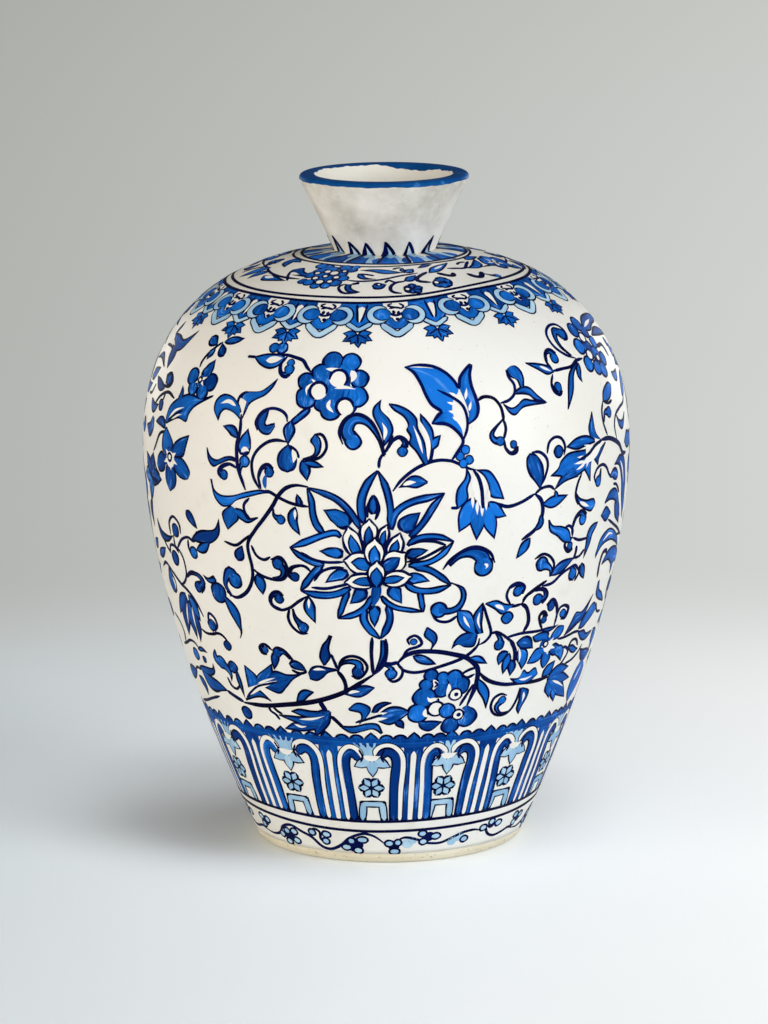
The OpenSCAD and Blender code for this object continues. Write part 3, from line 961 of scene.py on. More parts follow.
def paint_far_left_upper():
    dots((-55.8, 222.6, 4.2), (-48.2, 221.6, 4.3), (-50.4, 216.8, 4), (-54.4, 217.4, 3.6))
    leaf(7, (-51.6, 222.6), (-50.4, 227.2), (-49.4, 232), shape=heart_shape)
    spot("blue", WASH_COAT, (-52, 221.4), 2.6)
    rays(1.2, (-52.2, 221.8), (-50, 223.6), (-53.6, 224.2), (-54, 220), (-50.6, 219.4))
    eye(-52.4, 221.8, 1.7)
    leaf(4.5, (-49.5, 240.5), (-46.5, 242), (-44, 243), (-42.5, 244))
    bud(5, (-50, 240), (-48.5, 236), (-47, 234))
    bud(6, (-51.5, 238.5), (-54, 240), (-56, 242))
    line((-50, 240.5), (-53, 235), (-54.5, 230), (-54.5, 227))
    leaf(4, (-51.5, 237), (-52.5, 234), (-53, 231))
    blade([(-64.2, 200), (-63, 207), (-59.5, 212), (-55, 215), (-50, 214.4), (-46, 216.4)],
          [(-63.4, 199.2), (-58, 203), (-54.4, 202.4), (-53.6, 206), (-51.6, 210), (-46.2, 215.4)])
    leaf(3.8, (-59.5, 209), (-58.5, 213.5), (-59, 217.6))
    gleam(1.3, (-62.4, 202), (-59.6, 206.2), (-56, 208.6))
    ink(1.1, (-62.8, 201), (-59, 205), (-56.4, 207))
    gleam(1, (-61, 202), (-58.4, 204.4), (-56.4, 205.2))
    vine(1.5, (-61.5, 211), (-65, 212.7), (-68, 211.5), (-70.5, 209), (-73, 205))
    dot(-68.3, 206.2, 2.8)
    line((-67.6, 208.6), (-67, 211.6))
    leaf(5, (-76.4, 207), (-73.4, 203.6), (-69.8, 206))
    line((-81, 208), (-78, 209), (-76, 213.4))
    curl(2.8, (-71, 214.6), (-69.4, 214.6), (-66, 215.2), (-64.8, 218), (-67, 221), (-69.6, 219.4),
         (-67.2, 218))
    leaf(5, (-68.4, 213.6), (-72, 214), (-76.6, 217))
    blade([(-79, 237.6), (-74, 238), (-70, 236.8), (-67, 239), (-64.2, 243)],
          [(-79, 236.6), (-73, 230), (-70, 230.4), (-67, 233), (-64.2, 242)])
    leaf(3, (-79.6, 236.6), (-78.6, 240), (-78, 244))
    blade([(-74.6, 231.6), (-74, 227), (-71.4, 222)], [(-69.8, 232), (-69.6, 227), (-71.2, 222)])
    gleam(1.8, (-80, 233), (-76.4, 233.4), (-73.4, 232.4))
    line((-81, 231), (-77, 231.4), (-73.6, 230.8))
    blade([(-86, 223.4), (-80, 227.4), (-74, 222.4)], [(-86, 222.6), (-80, 224), (-74, 221.6)])
    leaf(6, (-84, 214.6), (-80, 217.4), (-76.4, 221))


def paint_star_flower():
    blade([(-60, 187), (-59, 191.4), (-56.6, 194.6), (-52.5, 197.4)],
          [(-58.6, 186), (-54.6, 187), (-53.4, 191.6), (-52.4, 196.8)])
    blade([(-59, 186.4), (-54.6, 186.4), (-51.8, 181.6), (-52.6, 177.8)],
          [(-59.4, 183.4), (-57.4, 178.6), (-54.6, 177), (-52.8, 177.6)])
    blade([(-59.4, 183), (-57.6, 178), (-58.2, 173), (-60.8, 170)],
          [(-62, 183), (-63, 178.6), (-63, 174.4), (-61.2, 170)])
    blade([(-62.4, 183.4), (-63.6, 178.4), (-66.6, 177), (-68, 179.6)],
          [(-62.8, 185.6), (-65, 187), (-67.2, 184), (-68, 180.2)])
    blade([(-62.6, 186), (-64.8, 188), (-64.8, 193.6), (-63.2, 198)],
          [(-60.4, 187), (-59, 191.4), (-60.4, 194.6), (-62.8, 198)])
    spot("blue", WASH_COAT, (-60.6, 185), 5)
    spot("white", GLEAM_COAT, (-60.2, 184.4), 3.6)
    rays(2, (-60.4, 185), (-57, 183), (-57.6, 188), (-62.6, 188.4), (-63.4, 182.4), (-60, 179.6))
    outlined_spot("white", EYE_COAT, (-60.5, 185.4), 2.3, inset=1.2)
    leaf(5, (-63.5, 197), (-66, 199.6), (-70, 198.4))
    line((-63, 196), (-66.5, 194), (-69, 188), (-70.5, 185))
    for tip in ((-77, 183), (-80, 172), (-75.4, 160.4), (-65.4, 173.6), (-70.4, 184.6)):
        leaf(9, (-73, 173.6), tip, shape=heart_shape)
    ink(2, (-77, 178), (-73, 173), (-68, 172))
    line((-70.4, 183), (-69, 178), (-66.6, 175.4))
    blade([(-73, 200), (-74.6, 196.8), (-77.4, 195.2)],
          [(-71.4, 199.4), (-71.4, 194), (-74.4, 190), (-77.8, 194.4)])
    bud(5, (-50.5, 156), (-52.5, 160), (-54.5, 163.5))
    leaf(6.5, (-53.5, 150.5), (-50, 152.5), (-46, 154), (-43.5, 157), (-42.5, 163))
    leaf(5, (-52, 146), (-49, 148), (-46, 152))
    dot(-60.6, 152.4, 3.3)
    line((-63.6, 149.5), (-63.6, 155), (-61, 158.6), (-58.4, 156), (-58.2, 151.5))
    leaf(5, (-74.6, 162), (-77, 156), (-76, 149))


def paint_left_middle():
    vine(1.8, (-18, 181.2), (-21, 181.6), (-23.5, 180), (-25.4, 176.4), (-27, 171.5), (-29.5, 165.5),
         (-32, 160), (-34.4, 153), (-33.8, 143), (-34.2, 137), (-36, 131.5), (-38.5, 128.2), (-40.6, 127.4),
         (-43, 129.4))
    line((-33.8, 142.4), (-31.5, 139.6), (-28, 138.2), (-25.4, 138.9), (-24.2, 142.6), (-24.6, 146.6),
         (-26, 149), (-28.4, 147.4))
    comma(2.9, (-28.4, 138.8), (-26, 139.8), (-25.3, 143), (-26.6, 145.8))
    line((-41.5, 153), (-38, 152), (-35, 155.5), (-33, 158))
    bud(5.6, (-36, 152.4), (-36.9, 149), (-37.8, 144.8))
    line((-33.4, 153), (-32.2, 148.6), (-30.2, 147), (-28.4, 148.6))
    curl(2.3, (-18.2, 143), (-19.4, 145.3), (-21, 145.8), (-23.2, 144.6), (-24.2, 141.6), (-23.2, 138.8),
         (-22.4, 140.4))
    leaf(6.2, (-32.9, 140), (-31.9, 135.5), (-31.6, 130.4))
    curl(2.4, (-19.4, 132), (-22, 129), (-24.4, 125.8), (-27, 124.2), (-29.3, 125.8), (-29.9, 129),
         (-28.8, 132), (-27, 132.8), (-25.9, 131), (-27.2, 129.4))
    comma(2.7, (-23.8, 125.4), (-23.3, 121), (-21.5, 116.8))
    line((-24.6, 125.4), (-25.3, 121), (-24.6, 117), (-22.6, 114), (-20.4, 114))
    leaf(5.6, (-19.3, 132), (-19.3, 126), (-18.1, 119))
    gleam(1.3, (-19.3, 130.6), (-19.5, 126))
    comma(4, (-41.5, 127.5), (-43, 133), (-41, 139), (-39.5, 135.5))
    dot(-46, 128, 5)
    blade([(-44.6, 126.4), (-43.4, 119.6), (-41.8, 114.6), (-40.7, 111), (-41.4, 107.6)],
          [(-44, 127.6), (-41, 123.8), (-39.7, 119.4), (-39.9, 114), (-40.1, 110.6), (-41.1, 107.6)])
    leaf(5, (-46, 134), (-49, 133), (-51, 135), shape=horn_shape)
    leaf(4.4, (-72.3, 154), (-70, 148), (-66, 147), (-62, 149.5))
    line((-69.6, 147), (-67.6, 143), (-65.6, 140.6))
    dot(-63.2, 138.8, 3.7)
    line((-65.8, 140), (-65, 144), (-62.6, 144.6), (-60.6, 142))
    vine(1.3, (-62, 150), (-62, 145), (-60, 143), (-58.6, 139), (-58.6, 133), (-60.5, 128.5), (-63, 126.5))
    line((-61, 144), (-58, 149), (-55, 151), (-52.5, 150), (-51, 155))
    dot(-53.3, 144.5, 3)
    line((-55, 150), (-55.2, 146), (-54, 142))
    comma(2.8, (-58.5, 131.5), (-56, 134), (-53, 134), (-51.5, 131), (-54, 128.3))
    line((-58.5, 132.5), (-55.5, 135), (-52.3, 133.5), (-51.2, 129.5), (-53, 125.5))
    vine(1.6, (-75, 131), (-71, 134), (-67, 131), (-63, 127), (-60, 125), (-57, 121), (-54.5, 114))
    bud(9, (-69.5, 133), (-69, 127), (-68.2, 120.4))
    gleam(1.6, (-68, 128.4), (-67, 125.6), (-67.2, 123))
    leaf(5, (-76, 136), (-72, 138.6), (-68.8, 141.7))
    leaf(5, (-80, 139), (-77.4, 141), (-75, 144))


def paint_dark_bud():
    leaf(6, (-61.5, 123), (-65, 118), (-68.8, 110.8))
    leaf(9, (-61.5, 122), (-64.5, 112), (-66.5, 101))
    leaf(7, (-60.5, 120), (-61.5, 112), (-61, 101))
    leaf(6, (-60, 123), (-58, 117), (-56.5, 111))
    leaf(5, (-59, 118), (-58.5, 108), (-59.5, 100))
    gleam(1.2, (-62, 118), (-63.5, 112), (-64.5, 107))
    gleam(1.2, (-59.5, 117), (-60, 111), (-60, 106))
    dot(-51.5, 111, 3)
    line((-51.5, 107), (-52.5, 112), (-51.8, 116.5), (-49.8, 115), (-49.2, 111.5), (-50.8, 108))
    line((-57.5, 107.5), (-55, 106), (-52, 106.5), (-50, 107.5), (-48, 107), (-46, 104))
    dot(-46.8, 102.5, 2.6)


def paint_left_lower():
    line((-75, 94), (-71, 96), (-67, 98.5), (-64, 98.5), (-62, 96))
    line((-72, 96), (-70.4, 101), (-72, 106), (-76, 108.6))
    leaf(5, (-69.4, 80.6), (-66.4, 77), (-66.4, 71.6))
    leaf(7, (-69.6, 83), (-76, 80), (-84, 76))
    line((-70, 83.6), (-68, 85), (-65.4, 84.6))
    dots((-60.4, 91.4, 1.8), (-65.3, 92.5, 3.2))
    leaf(2.8, (-63, 95.5), (-60, 96.5), (-57.5, 95.5))
    leaf(5, (-66, 86), (-61, 85.5), (-57, 87), (-56, 91))
    leaf(8, (-65, 85), (-61, 80), (-56, 79.5), (-52, 78.5))
    leaf(5, (-53, 99), (-53.5, 94), (-50, 91.5), (-48.5, 88), (-49, 84))
    dots((-51.5, 93, 3.4), (-46.8, 92, 3.2))
    line((-50.5, 86), (-49.5, 82), (-47.5, 81), (-46, 83))
    leaf(3, (-45.8, 92), (-45.5, 85), (-45, 77))
    dot(-46, 69.5, 3.4)
    vine(2, (-52.5, 78.5), (-49, 76.5), (-46, 75))
    line((-58, 74), (-64, 71), (-70, 68), (-76, 66))
    vine(2.3, (-4, 95), (-7, 91.5), (-11, 87), (-16, 83.2), (-22, 80), (-30, 77.4), (-38, 75.2),
         (-46, 74.6))
    blade([(-42.6, 83), (-42.4, 89), (-42.1, 94.4)], [(-37.8, 86), (-38.2, 90), (-41.6, 94.2)])
    blade([(-40.4, 84.6), (-38, 90.4), (-35, 94.2), (-32.5, 97.2)],
          [(-34, 87.6), (-32.4, 92.4), (-32.3, 97.2)])
    blade([(-36.4, 89), (-32, 94), (-28, 93), (-23.6, 94)],
          [(-36.4, 84.6), (-31.6, 82.4), (-28.8, 86.2), (-26.4, 90.4), (-23.6, 93.4)])
    blade([(-44.8, 77), (-40, 82.2), (-38, 82.6), (-35, 78.4)],
          [(-44.8, 75.8), (-40.5, 78.4), (-37.6, 79), (-35, 77.8)])
    gleam(2.8, (-43.4, 79), (-38, 84.6), (-31.6, 89))
    ink(1.1, (-44, 78), (-39, 84.4), (-34, 87.2), (-31.4, 88.6), level=6)
    gleam(1.1, (-38.4, 86.2), (-35, 88.6), (-32, 90.4))
    blade([(-26.7, 79.4), (-25.5, 84.2), (-23.4, 86.4), (-20.8, 85.4)],
          [(-26.2, 79.4), (-24, 80.2), (-22.6, 82.4), (-20.8, 84.8)])
    vine(2.4, (-19.4, 80.6), (-18.4, 77.4), (-18, 75.6))
    blade([(-16.4, 75.6), (-17, 70), (-19.4, 65.4), (-21.8, 62.4)],
          [(-17, 76.6), (-20, 76.2), (-22.6, 71), (-22.2, 62.4)])
    blade([(-18, 76.4), (-22, 75.8), (-26, 76.2), (-28.8, 74.6)],
          [(-19, 71), (-23, 71.4), (-26, 72.4), (-28.8, 74)])
    blade([(-20, 73.4), (-25, 72.4), (-29, 72.2), (-33.4, 71.8)],
          [(-20, 68), (-25, 67.4), (-30, 69.4), (-33.4, 71.2)])
    blade([(-21, 70), (-26, 69.6), (-29, 68.6), (-32.2, 65)],
          [(-21, 66), (-25, 64.6), (-28, 64.2), (-32.2, 64.6)])
    gleam(1.2, (-26.6, 70.6), (-22, 71.6), (-18.6, 73.4))
    gleam(1.2, (-28.6, 67.8), (-26.4, 66.8), (-24.6, 67.4))
    line((-36.4, 75.6), (-36, 73), (-34.4, 71.4), (-33.4, 69))
    line((-35, 75.6), (-33.6, 73.4), (-32, 72.2))
    vine(1.8, (-16.6, 73.6), (-14.8, 70.6), (-13.4, 68))
    line((-22, 95), (-23.6, 97.8), (-25.5, 99.8), (-26.5, 102.2), (-28, 104.8), (-29.8, 105.6),
         (-31.4, 104))
    comma(2.4, (-26.4, 100.6), (-28, 103.6), (-30, 103.2))
    leaf(4.6, (-30, 104.4), (-31, 99.6), (-31.9, 94.2))
    curl(1.8, (-31.4, 104), (-33.4, 106.5), (-35.2, 105), (-34.8, 102.2), (-33.2, 101.6), (-33.6, 103.8))
    bud(5, (-22, 95.4), (-24.4, 97.8), (-27, 98.4))
    line((-22, 95), (-24.2, 94), (-26.4, 95.4))
    blade([(-13.6, 97.6), (-16, 98.2), (-18.4, 98.8), (-20.5, 97.8), (-21.7, 94.8)],
          [(-13.6, 96.4), (-16, 95.2), (-17.6, 92.6), (-19.4, 90.8), (-21.4, 91.4)])
    gleam(1.3, (-20.2, 96.4), (-18.4, 97), (-16.6, 96.6))
    blade([(-17.1, 98.6), (-18.1, 103), (-17.1, 108.6), (-15.7, 111.6), (-15, 114)],
          [(-16.4, 99.2), (-14.9, 103), (-15.1, 107), (-14.7, 110), (-14, 113.4)])
    line((-14.8, 104.6), (-13.9, 100), (-13.5, 97.6))
    line((-13.4, 97), (-12, 102), (-9.6, 104), (-7, 102.8), (-5.5, 99), (-6.4, 95.2), (-8.2, 93),
         (-9.8, 94.4))
    comma(2.9, (-13.4, 96.4), (-12.4, 99.8), (-10, 101.4), (-7.7, 100.2), (-8, 96.2))
    vine(1.9, (-13.5, 96.6), (-12, 92.6), (-11.5, 88.5), (-12, 86))
    blade([(-12.2, 84.8), (-8.5, 83.4), (-6, 85), (-3.7, 88.4)],
          [(-12.2, 85.4), (-9, 88.8), (-6.2, 90.1), (-3.7, 88.9)])
    gleam(1.6, (-11, 85.6), (-9.4, 86.6), (-7.8, 86.6))
    blade([(-13.9, 67.6), (-11, 65), (-7.4, 66.4), (-4.6, 67.4), (-2.3, 65)],
          [(-13.9, 69), (-10, 69.2), (-6, 70.8), (-3, 70.2), (-1.7, 65.8)])
    blade([(-11.4, 77.8), (-9, 81), (-6.4, 80.4), (-4.9, 78), (-6, 74.2), (-8.4, 70)],
          [(-11.2, 76.8), (-9.6, 76.2), (-8.2, 75.6), (-7.9, 73.4), (-8.6, 70)])
    blade([(-5, 76.2), (-3.8, 80), (-1.4, 81.7), (0.8, 81.2)],
          [(-3.4, 75.6), (-2, 78.2), (-0.4, 79.8), (0.8, 80.6)])
    blade([(-2.8, 75.8), (0, 79), (3, 79.2), (6, 76.8)], [(-3, 71.4), (0, 69.6), (2.6, 71.4), (6, 75.8)])
    leaf(4.2, (1.4, 72.4), (3, 70.6), (4.4, 67.6))
    gleam(2.4, (-6.4, 73), (-3.6, 74.8), (-0.4, 76.2))
    gleam(2, (-5.6, 71.8), (-3, 72.8), (-0.4, 73.4))
    ink(1.3, (-9.6, 70.8), (-5.6, 73), (-1.8, 75.2))


def paint_bottom_rosette():
    dots((11.4, 94, 3.5), (14.6, 92.8, 3), (17.8, 92.4, 4), (19.6, 88, 4.9), (10.2, 89.4, 3.4),
         (14.6, 86.4, 3.9), (9.8, 83.2, 5.4), (8.2, 75.4, 5), (22.8, 71.6, 5.2), (18, 68.2, 4.4),
         (12.4, 80.4, 3))
    blade([(8.2, 73), (9.6, 71.6), (12.6, 71.4), (15.4, 70.6)],
          [(8.2, 72), (9, 67.6), (12, 65.8), (15.4, 70)])
    spots("blue", WASH_COAT, (18.4, 90.4, 3), (14.6, 90, 2.2), (22.4, 75, 2.4))
    gleam(2.2, (12, 92), (12.8, 89.6), (12.2, 86.8))
    gleam(2, (16.4, 89.4), (16.6, 87), (16, 83))
    gleam(2.2, (13.6, 82.4), (11.6, 81.6), (10.6, 83.4))
    gleam(1.8, (10.4, 77.6), (10.2, 74.6), (12, 73))
    gleam(1.8, (20.6, 76.6), (21.4, 74), (21.6, 71))
    ink(1, (12.4, 91), (13.2, 89.4), (12.4, 88))
    eye(13.3, 77.2, 4)
    outlined_spot("blue", 8, (16.6, 75.9), 3.9, inset=0.8)
    for degrees, arc, radius in ((18.6, 83.8, 3.3), (20, 73.4, 3)):
        outlined_spot("white", 10, (degrees, arc), radius, inset=0.9)
        spot("line", 12, (degrees + 0.2, arc), 1)
    line((23.6, 88), (21.6, 82), (20.2, 77.6))


def paint_lower_centre():
    vine(1.8, (-1.4, 100.6), (0.8, 100.4), (2.6, 101.2))
    line((2.3, 100.2), (3.7, 97.2), (3.2, 93.4), (1.4, 91.6), (-0.3, 93))
    comma(2.8, (-1.2, 99.8), (0.6, 98.4), (0.7, 95.4))
    vine(2.3, (2.4, 100.8), (4.6, 104.4), (8, 106), (13, 105.4), (18, 103.2), (20.6, 101.6), (23, 98.4),
         (24.4, 94.6), (24.4, 88), (23.4, 82), (22.4, 77))
    vine(1.6, (2.6, 100.6), (3.6, 97.6), (6, 96), (9, 96.2), (14, 98.4), (18.6, 100.8), (21.4, 103.4),
         (23.4, 107), (23.7, 110.4))
    leaf(4.8, (6.2, 104), (9.4, 101.6), (12.6, 99.4))
    line((3.6, 103.6), (5, 107), (7.4, 108.4), (8.5, 110), (7.7, 112.8), (6.4, 113.8), (4.9, 112),
         (5.4, 109.4))
    dot(6.4, 110.9, 1.7)
    blade([(10.4, 105.6), (11, 109.6), (8.9, 113.4), (9.5, 117.6)],
          [(11, 106.4), (12.5, 111), (12.1, 114.6), (9.9, 117.8)])
    blade([(15, 137.8), (17, 135.4), (17.7, 131.5), (17, 128), (15, 126.4), (12.4, 128)],
          [(15.2, 138.3), (18.5, 135.4), (19.3, 130.6), (18.1, 125.2), (15.6, 123.2), (12.4, 123)])
    dot(12.4, 125.6, 3.9)
    line((10.8, 123.4), (12.4, 120.4), (15, 119.8), (17.3, 122.4))
    line((13, 144.3), (15, 149), (18.5, 153), (21.5, 153.5), (24.5, 150.5), (26, 145.5))
    comma(4.8, (14.5, 146), (17, 150), (20, 151), (22.5, 148.5), (23.1, 144.4))
    gleam(1.3, (23.2, 145.6), (24, 144.6), (23.6, 143.2))


def paint_leaf_trio():
    blade([(17, 124), (17.3, 119.4), (19, 115), (22.6, 111.4)],
          [(17.3, 125.2), (20.4, 124), (21.9, 119.6), (22.8, 112.8)])
    blade([(23.5, 127.4), (21.5, 122.6), (21.3, 118.4), (22.9, 112.4)],
          [(23.9, 127.4), (24.1, 121), (24.1, 117), (24.7, 112.8)])
    blade([(16.3, 106.6), (17, 110.6), (19, 113.6), (22, 114)],
          [(16.3, 106.3), (18, 108.2), (20, 106.6), (22.5, 106.8), (23.2, 112)])
    gleam(1.2, (18.8, 122), (19.6, 119), (20.8, 116))
    gleam(1.1, (23, 123), (22.8, 119), (23.6, 115))
    line((23.8, 126.8), (25, 121), (26.2, 116), (26.8, 112), (25.6, 108.8), (23.8, 107.2))
    line((26.6, 112), (28.5, 112.4), (30.5, 110.6), (32.5, 108), (34.6, 105.2))
    line((31, 109), (36, 110), (42, 109.6), (47, 110.2))
    comma(2.8, (28.2, 112.2), (29.7, 109), (29.7, 106))
    blade([(24.3, 126.4), (27, 123.4), (29, 120.6), (30.2, 121.4)],
          [(24.5, 127.2), (27.4, 128), (30, 125.8), (32.6, 125)])
    gleam(2, (27, 125.6), (28.8, 124.2), (29.8, 122.6))
    curl(2.7, (31.6, 124.6), (30.1, 129), (30.8, 133.2), (33, 134.7), (35.1, 132.6), (34.8, 129),
         (33.2, 130.8))
    dot(31, 118.8, 3.2)
    line((29, 120.6), (30.6, 123.6), (33, 123.9), (35, 124.4))
    vine(2, (34.6, 124.6), (36.4, 122.4), (37.6, 118), (37.8, 114), (36.6, 110.4))
    vine(1.6, (35, 124.4), (35.8, 127.4), (38.4, 130.6), (42, 133.4))
    curl(2.9, (36, 127.6), (38.6, 130), (41.6, 129.8), (43, 126.4), (41.6, 122.6), (39.8, 125.2))


def paint_right_lower():
    line((43.5, 137), (43.7, 140.8), (42, 144.6), (39.6, 146.3), (37.2, 144.6))
    comma(3.6, (43, 135), (42.6, 138.8), (39.6, 141.8))
    leaf(5.6, (42.8, 135.4), (47, 139), (51.2, 141.6))
    vine(1.7, (50.8, 140.6), (51.3, 144), (51.3, 146.8))
    vine(1.5, (40.6, 131.2), (44, 131.8), (47, 135.2), (50, 137), (52, 137.5), (54, 134))
    bud(6.2, (50.5, 138), (51.2, 134), (51.8, 130.4))
    line((53.8, 137), (53.8, 133), (52.5, 130))
    line((51, 141.2), (53, 141.5), (54.8, 144))
    leaf(5, (59.8, 155), (56.8, 151.5), (56, 146), (55, 139.5))
    leaf(5, (54.5, 138), (55.3, 134), (56.8, 129.6))
    line((49.5, 151), (52, 149.2), (55.5, 149))
    curl(1.9, (49.5, 151), (47.3, 150.6), (46.6, 148), (48, 145), (49.8, 145.6), (48.6, 147.6))
    blade([(45, 104.6), (42.5, 104), (41.2, 104.4), (40.2, 107)],
          [(46.4, 104.8), (46, 108), (43, 108.8), (40.2, 107.4)])
    blade([(47, 104.4), (47.6, 107), (49.4, 109.8), (51.8, 109.4)],
          [(48.4, 103), (50.8, 103.6), (52.2, 106.6), (52, 109)])
    blade([(48.2, 100.6), (50, 101.6), (52.6, 99), (53.6, 96.4)],
          [(47.6, 97.6), (49.4, 95.2), (51.4, 95), (53.4, 96)])
    blade([(45, 97.4), (45, 94), (46, 91), (46.9, 89.8)],
          [(48.6, 97.4), (49, 94), (48.2, 91.4), (47, 89.8)])
    blade([(45, 101), (42.4, 101), (40.8, 97.6), (40, 94.2)],
          [(45.2, 97), (44.6, 94.6), (42.6, 93.6), (40.2, 94)])
    leaf(2.6, (42.4, 109.8), (46, 109.2), (49.4, 110.4))
    spot("blue", WASH_COAT, (45.8, 101.4), 4)
    spot("white", GLEAM_COAT, (46.9, 100.6), 2.7)
    rays(1.8, (46.6, 101), (48.6, 104.6), (47.4, 96.6), (44.2, 101.4), (50, 99))
    eye(45.7, 102.2, 1.9)
    curl(1.9, (43.2, 110), (42, 113.4), (41.3, 116.8), (42.6, 118.8), (44.4, 116), (43.2, 114.6))
    curl(2.4, (47.6, 110), (47.9, 116), (47, 121), (45.2, 123.9), (43.2, 121.6), (45, 120.4))
    curl(2.2, (47.8, 114.4), (48.6, 118.6), (50.6, 119.3), (52.4, 117.4), (51.8, 113.2), (49.8, 112.8),
         (50.2, 115.6))
    leaf(5, (33, 102), (31, 100), (30.4, 95.8))
    leaf(4.8, (33.4, 101.4), (32.7, 96), (32.3, 90.8))
    leaf(4.8, (34.2, 98), (34.9, 94), (34.8, 89.4))
    leaf(6.8, (36.4, 103), (38.2, 97), (38.5, 91.6))
    leaf(6.8, (35, 105.8), (38.4, 104.8), (41.2, 101.4))
    gleam(1.3, (36.2, 103), (37, 99), (37, 95.6))
    ink(2, (33, 107.6), (35, 102), (35.5, 95.8))
    blade([(35, 88), (38, 84.4), (42, 84.2), (45.2, 87.6)],
          [(35.2, 88.4), (38.2, 88), (39.4, 91.6), (41.2, 89.8), (43.6, 91.6), (45.2, 88)])
    gleam(1.2, (38.4, 87), (40.6, 86.6), (43, 87.6))
    vine(1.9, (24.6, 94), (27, 90), (30, 87.4), (34, 85.6), (39, 85), (44, 84.3), (50.4, 84.6))
    line((39.4, 82.6), (39.2, 77.4), (37.6, 72), (35, 70), (32, 71.2), (30.3, 75), (30.8, 79.2), (33, 81),
         (35.2, 79.8))
    comma(2.2, (37.4, 71.4), (34, 71.2), (32.2, 74.6), (33.8, 77.8))
    blade([(39.6, 82.2), (39.8, 76), (39.6, 72), (41, 68.8)],
          [(40.4, 82.6), (43.2, 80.6), (43.1, 76.6), (41.8, 72.4), (41.3, 68.8)])
    gleam(1.4, (41.2, 80), (41.6, 77.6), (41.4, 75))
    blade([(24.3, 91), (24.8, 85), (27, 79.8), (28.5, 74.8)],
          [(24.7, 91), (27.5, 87.2), (29.2, 82), (28.8, 74.8)])
    line((23.8, 96.2), (21.5, 95.2), (20, 93.4), (21.5, 91.6), (23.6, 93))
    leaf(3.8, (21.4, 101.2), (24, 100.2), (27, 97.4))


def paint_far_right_lower():
    blade([(53.4, 105), (55, 110), (56.6, 114), (60, 113.6), (64.4, 120)],
          [(54, 104.2), (57, 107.2), (60, 108.2), (62.2, 112), (64.4, 119.4)])
    line((50.5, 103), (54, 103), (58, 103.8), (61, 103.4))
    line((53, 104), (56, 106), (59, 108.4))
    leaf(7, (60, 104.6), (64, 109.6), (68, 114.6))
    line((56.6, 96.6), (58, 99.8), (60.4, 99.6), (62.4, 96))
    blade([(56.6, 97.6), (59, 97.8), (61.4, 95.6), (63, 94.6)],
          [(56.8, 96.6), (58.6, 94), (61, 92.6), (63, 94)])
    line((57, 88.6), (61, 89.6), (64, 92), (65.6, 95.4))
    leaf(6.4, (47.2, 85.6), (49.5, 88.4), (51.8, 92.4))
    leaf(6, (50, 99), (53, 96), (54.5, 91))
    line((53, 97), (55, 97.8), (57.2, 95), (56, 91), (53.6, 87.6))
    leaf(6.4, (50, 83.6), (54, 86.4), (60.4, 86.6))
    leaf(6.6, (50, 84), (56, 82.4), (63.2, 80))
    leaf(8, (50, 83.5), (57, 77.6), (64, 70))
    leaf(7, (50.5, 83), (52.5, 78.5), (53.5, 73))
    leaf(5, (54, 79), (55.5, 75), (57, 70))
    gleam(1.2, (53, 82), (57, 79.4), (60.4, 76.6))


def paint_side_spray():
    """A climbing stem that fills the side between the front scroll and the back scroll."""
    vine(1.8, (80, 67), (85, 74), (88, 84), (86, 96), (82, 106), (82, 116), (87, 124), (93, 132), (95, 144),
         (91, 156), (87, 164))
    leaf(8, (88, 82), (92, 90), (98, 95))
    leaf(7, (86.6, 78), (82, 84), (78, 84))
    leaf(7, (87, 92), (91, 100), (91.6, 108))
    leaf(6.4, (84, 100), (79.6, 104), (76.6, 101))
    curl(2.6, (82, 110), (78.6, 114), (77, 119), (79, 122.6), (81.6, 120.6), (79.4, 118.4))
    leaf(7, (84, 119), (89, 117), (94, 119.6))
    curl(2.6, (91, 117.6), (96, 112), (100, 113.4), (101.6, 109), (99, 105.4), (96.6, 107.6), (98.8, 109.4))
    leaf(6.6, (90, 128), (95, 127), (100, 130))
    leaf(8, (94.4, 138), (90, 146), (84, 148))
    line((95, 144), (98, 150), (98.6, 156), (96, 159), (93.6, 156.6))
    dot(95.6, 154.4, 3)
    leaf(6.4, (97, 159), (98.4, 167), (95.4, 174))
    petal_flower((87, 172), 8.4, (87, 183), (93, 176), (91, 165), (84, 164), (81, 174))
    spot("blue", 4.2, (87, 172), 3.4)
    eye(87, 172, 2.6)
    vine(1.6, (88, 190), (85, 197), (88, 205), (93, 212), (92, 221), (87, 226))
    line((88, 190), (91.6, 193), (95, 191.4))
    bud(6.4, (95, 191.4), (98, 192.6), (99.6, 197))
    leaf(7, (86, 200), (91, 199.6), (95, 204))
    leaf(6, (92.6, 215), (88, 219), (82.6, 218.6))
    leaf(5.4, (91, 209), (96, 209.6), (100, 212.6))
    dots((85.4, 224.6, 3.4), (83.6, 229.4, 2.4))


# Bands that run all the way round
def around(middle, rise=0.0):
    """A function that moves points, given as degrees from a middle line and arc length, to their place."""
    def at(*points):
        return [(middle + degrees, arc + rise) for degrees, arc in points]
    return at


def all_round(front, count):
    """Angles of a repeat, as drawn on the front and in even steps behind. Each comes with the next one."""
    step = (360 + front[0] - front[-1]) / (count - len(front) + 1)
    angles = front + [front[-1] + step * (k + 1) for k in range(count - len(front))]
    return list(zip(angles, angles[1:] + [front[0] + 360]))


def shoulder_tilt(degrees):
    """The painter's shoulder rings step up to the right of the front, and down again behind."""
    return TILT_MEAN + TILT_SWING * np.tanh(TILT_SHARP * np.sin(np.radians(degrees - TILT_AT)))


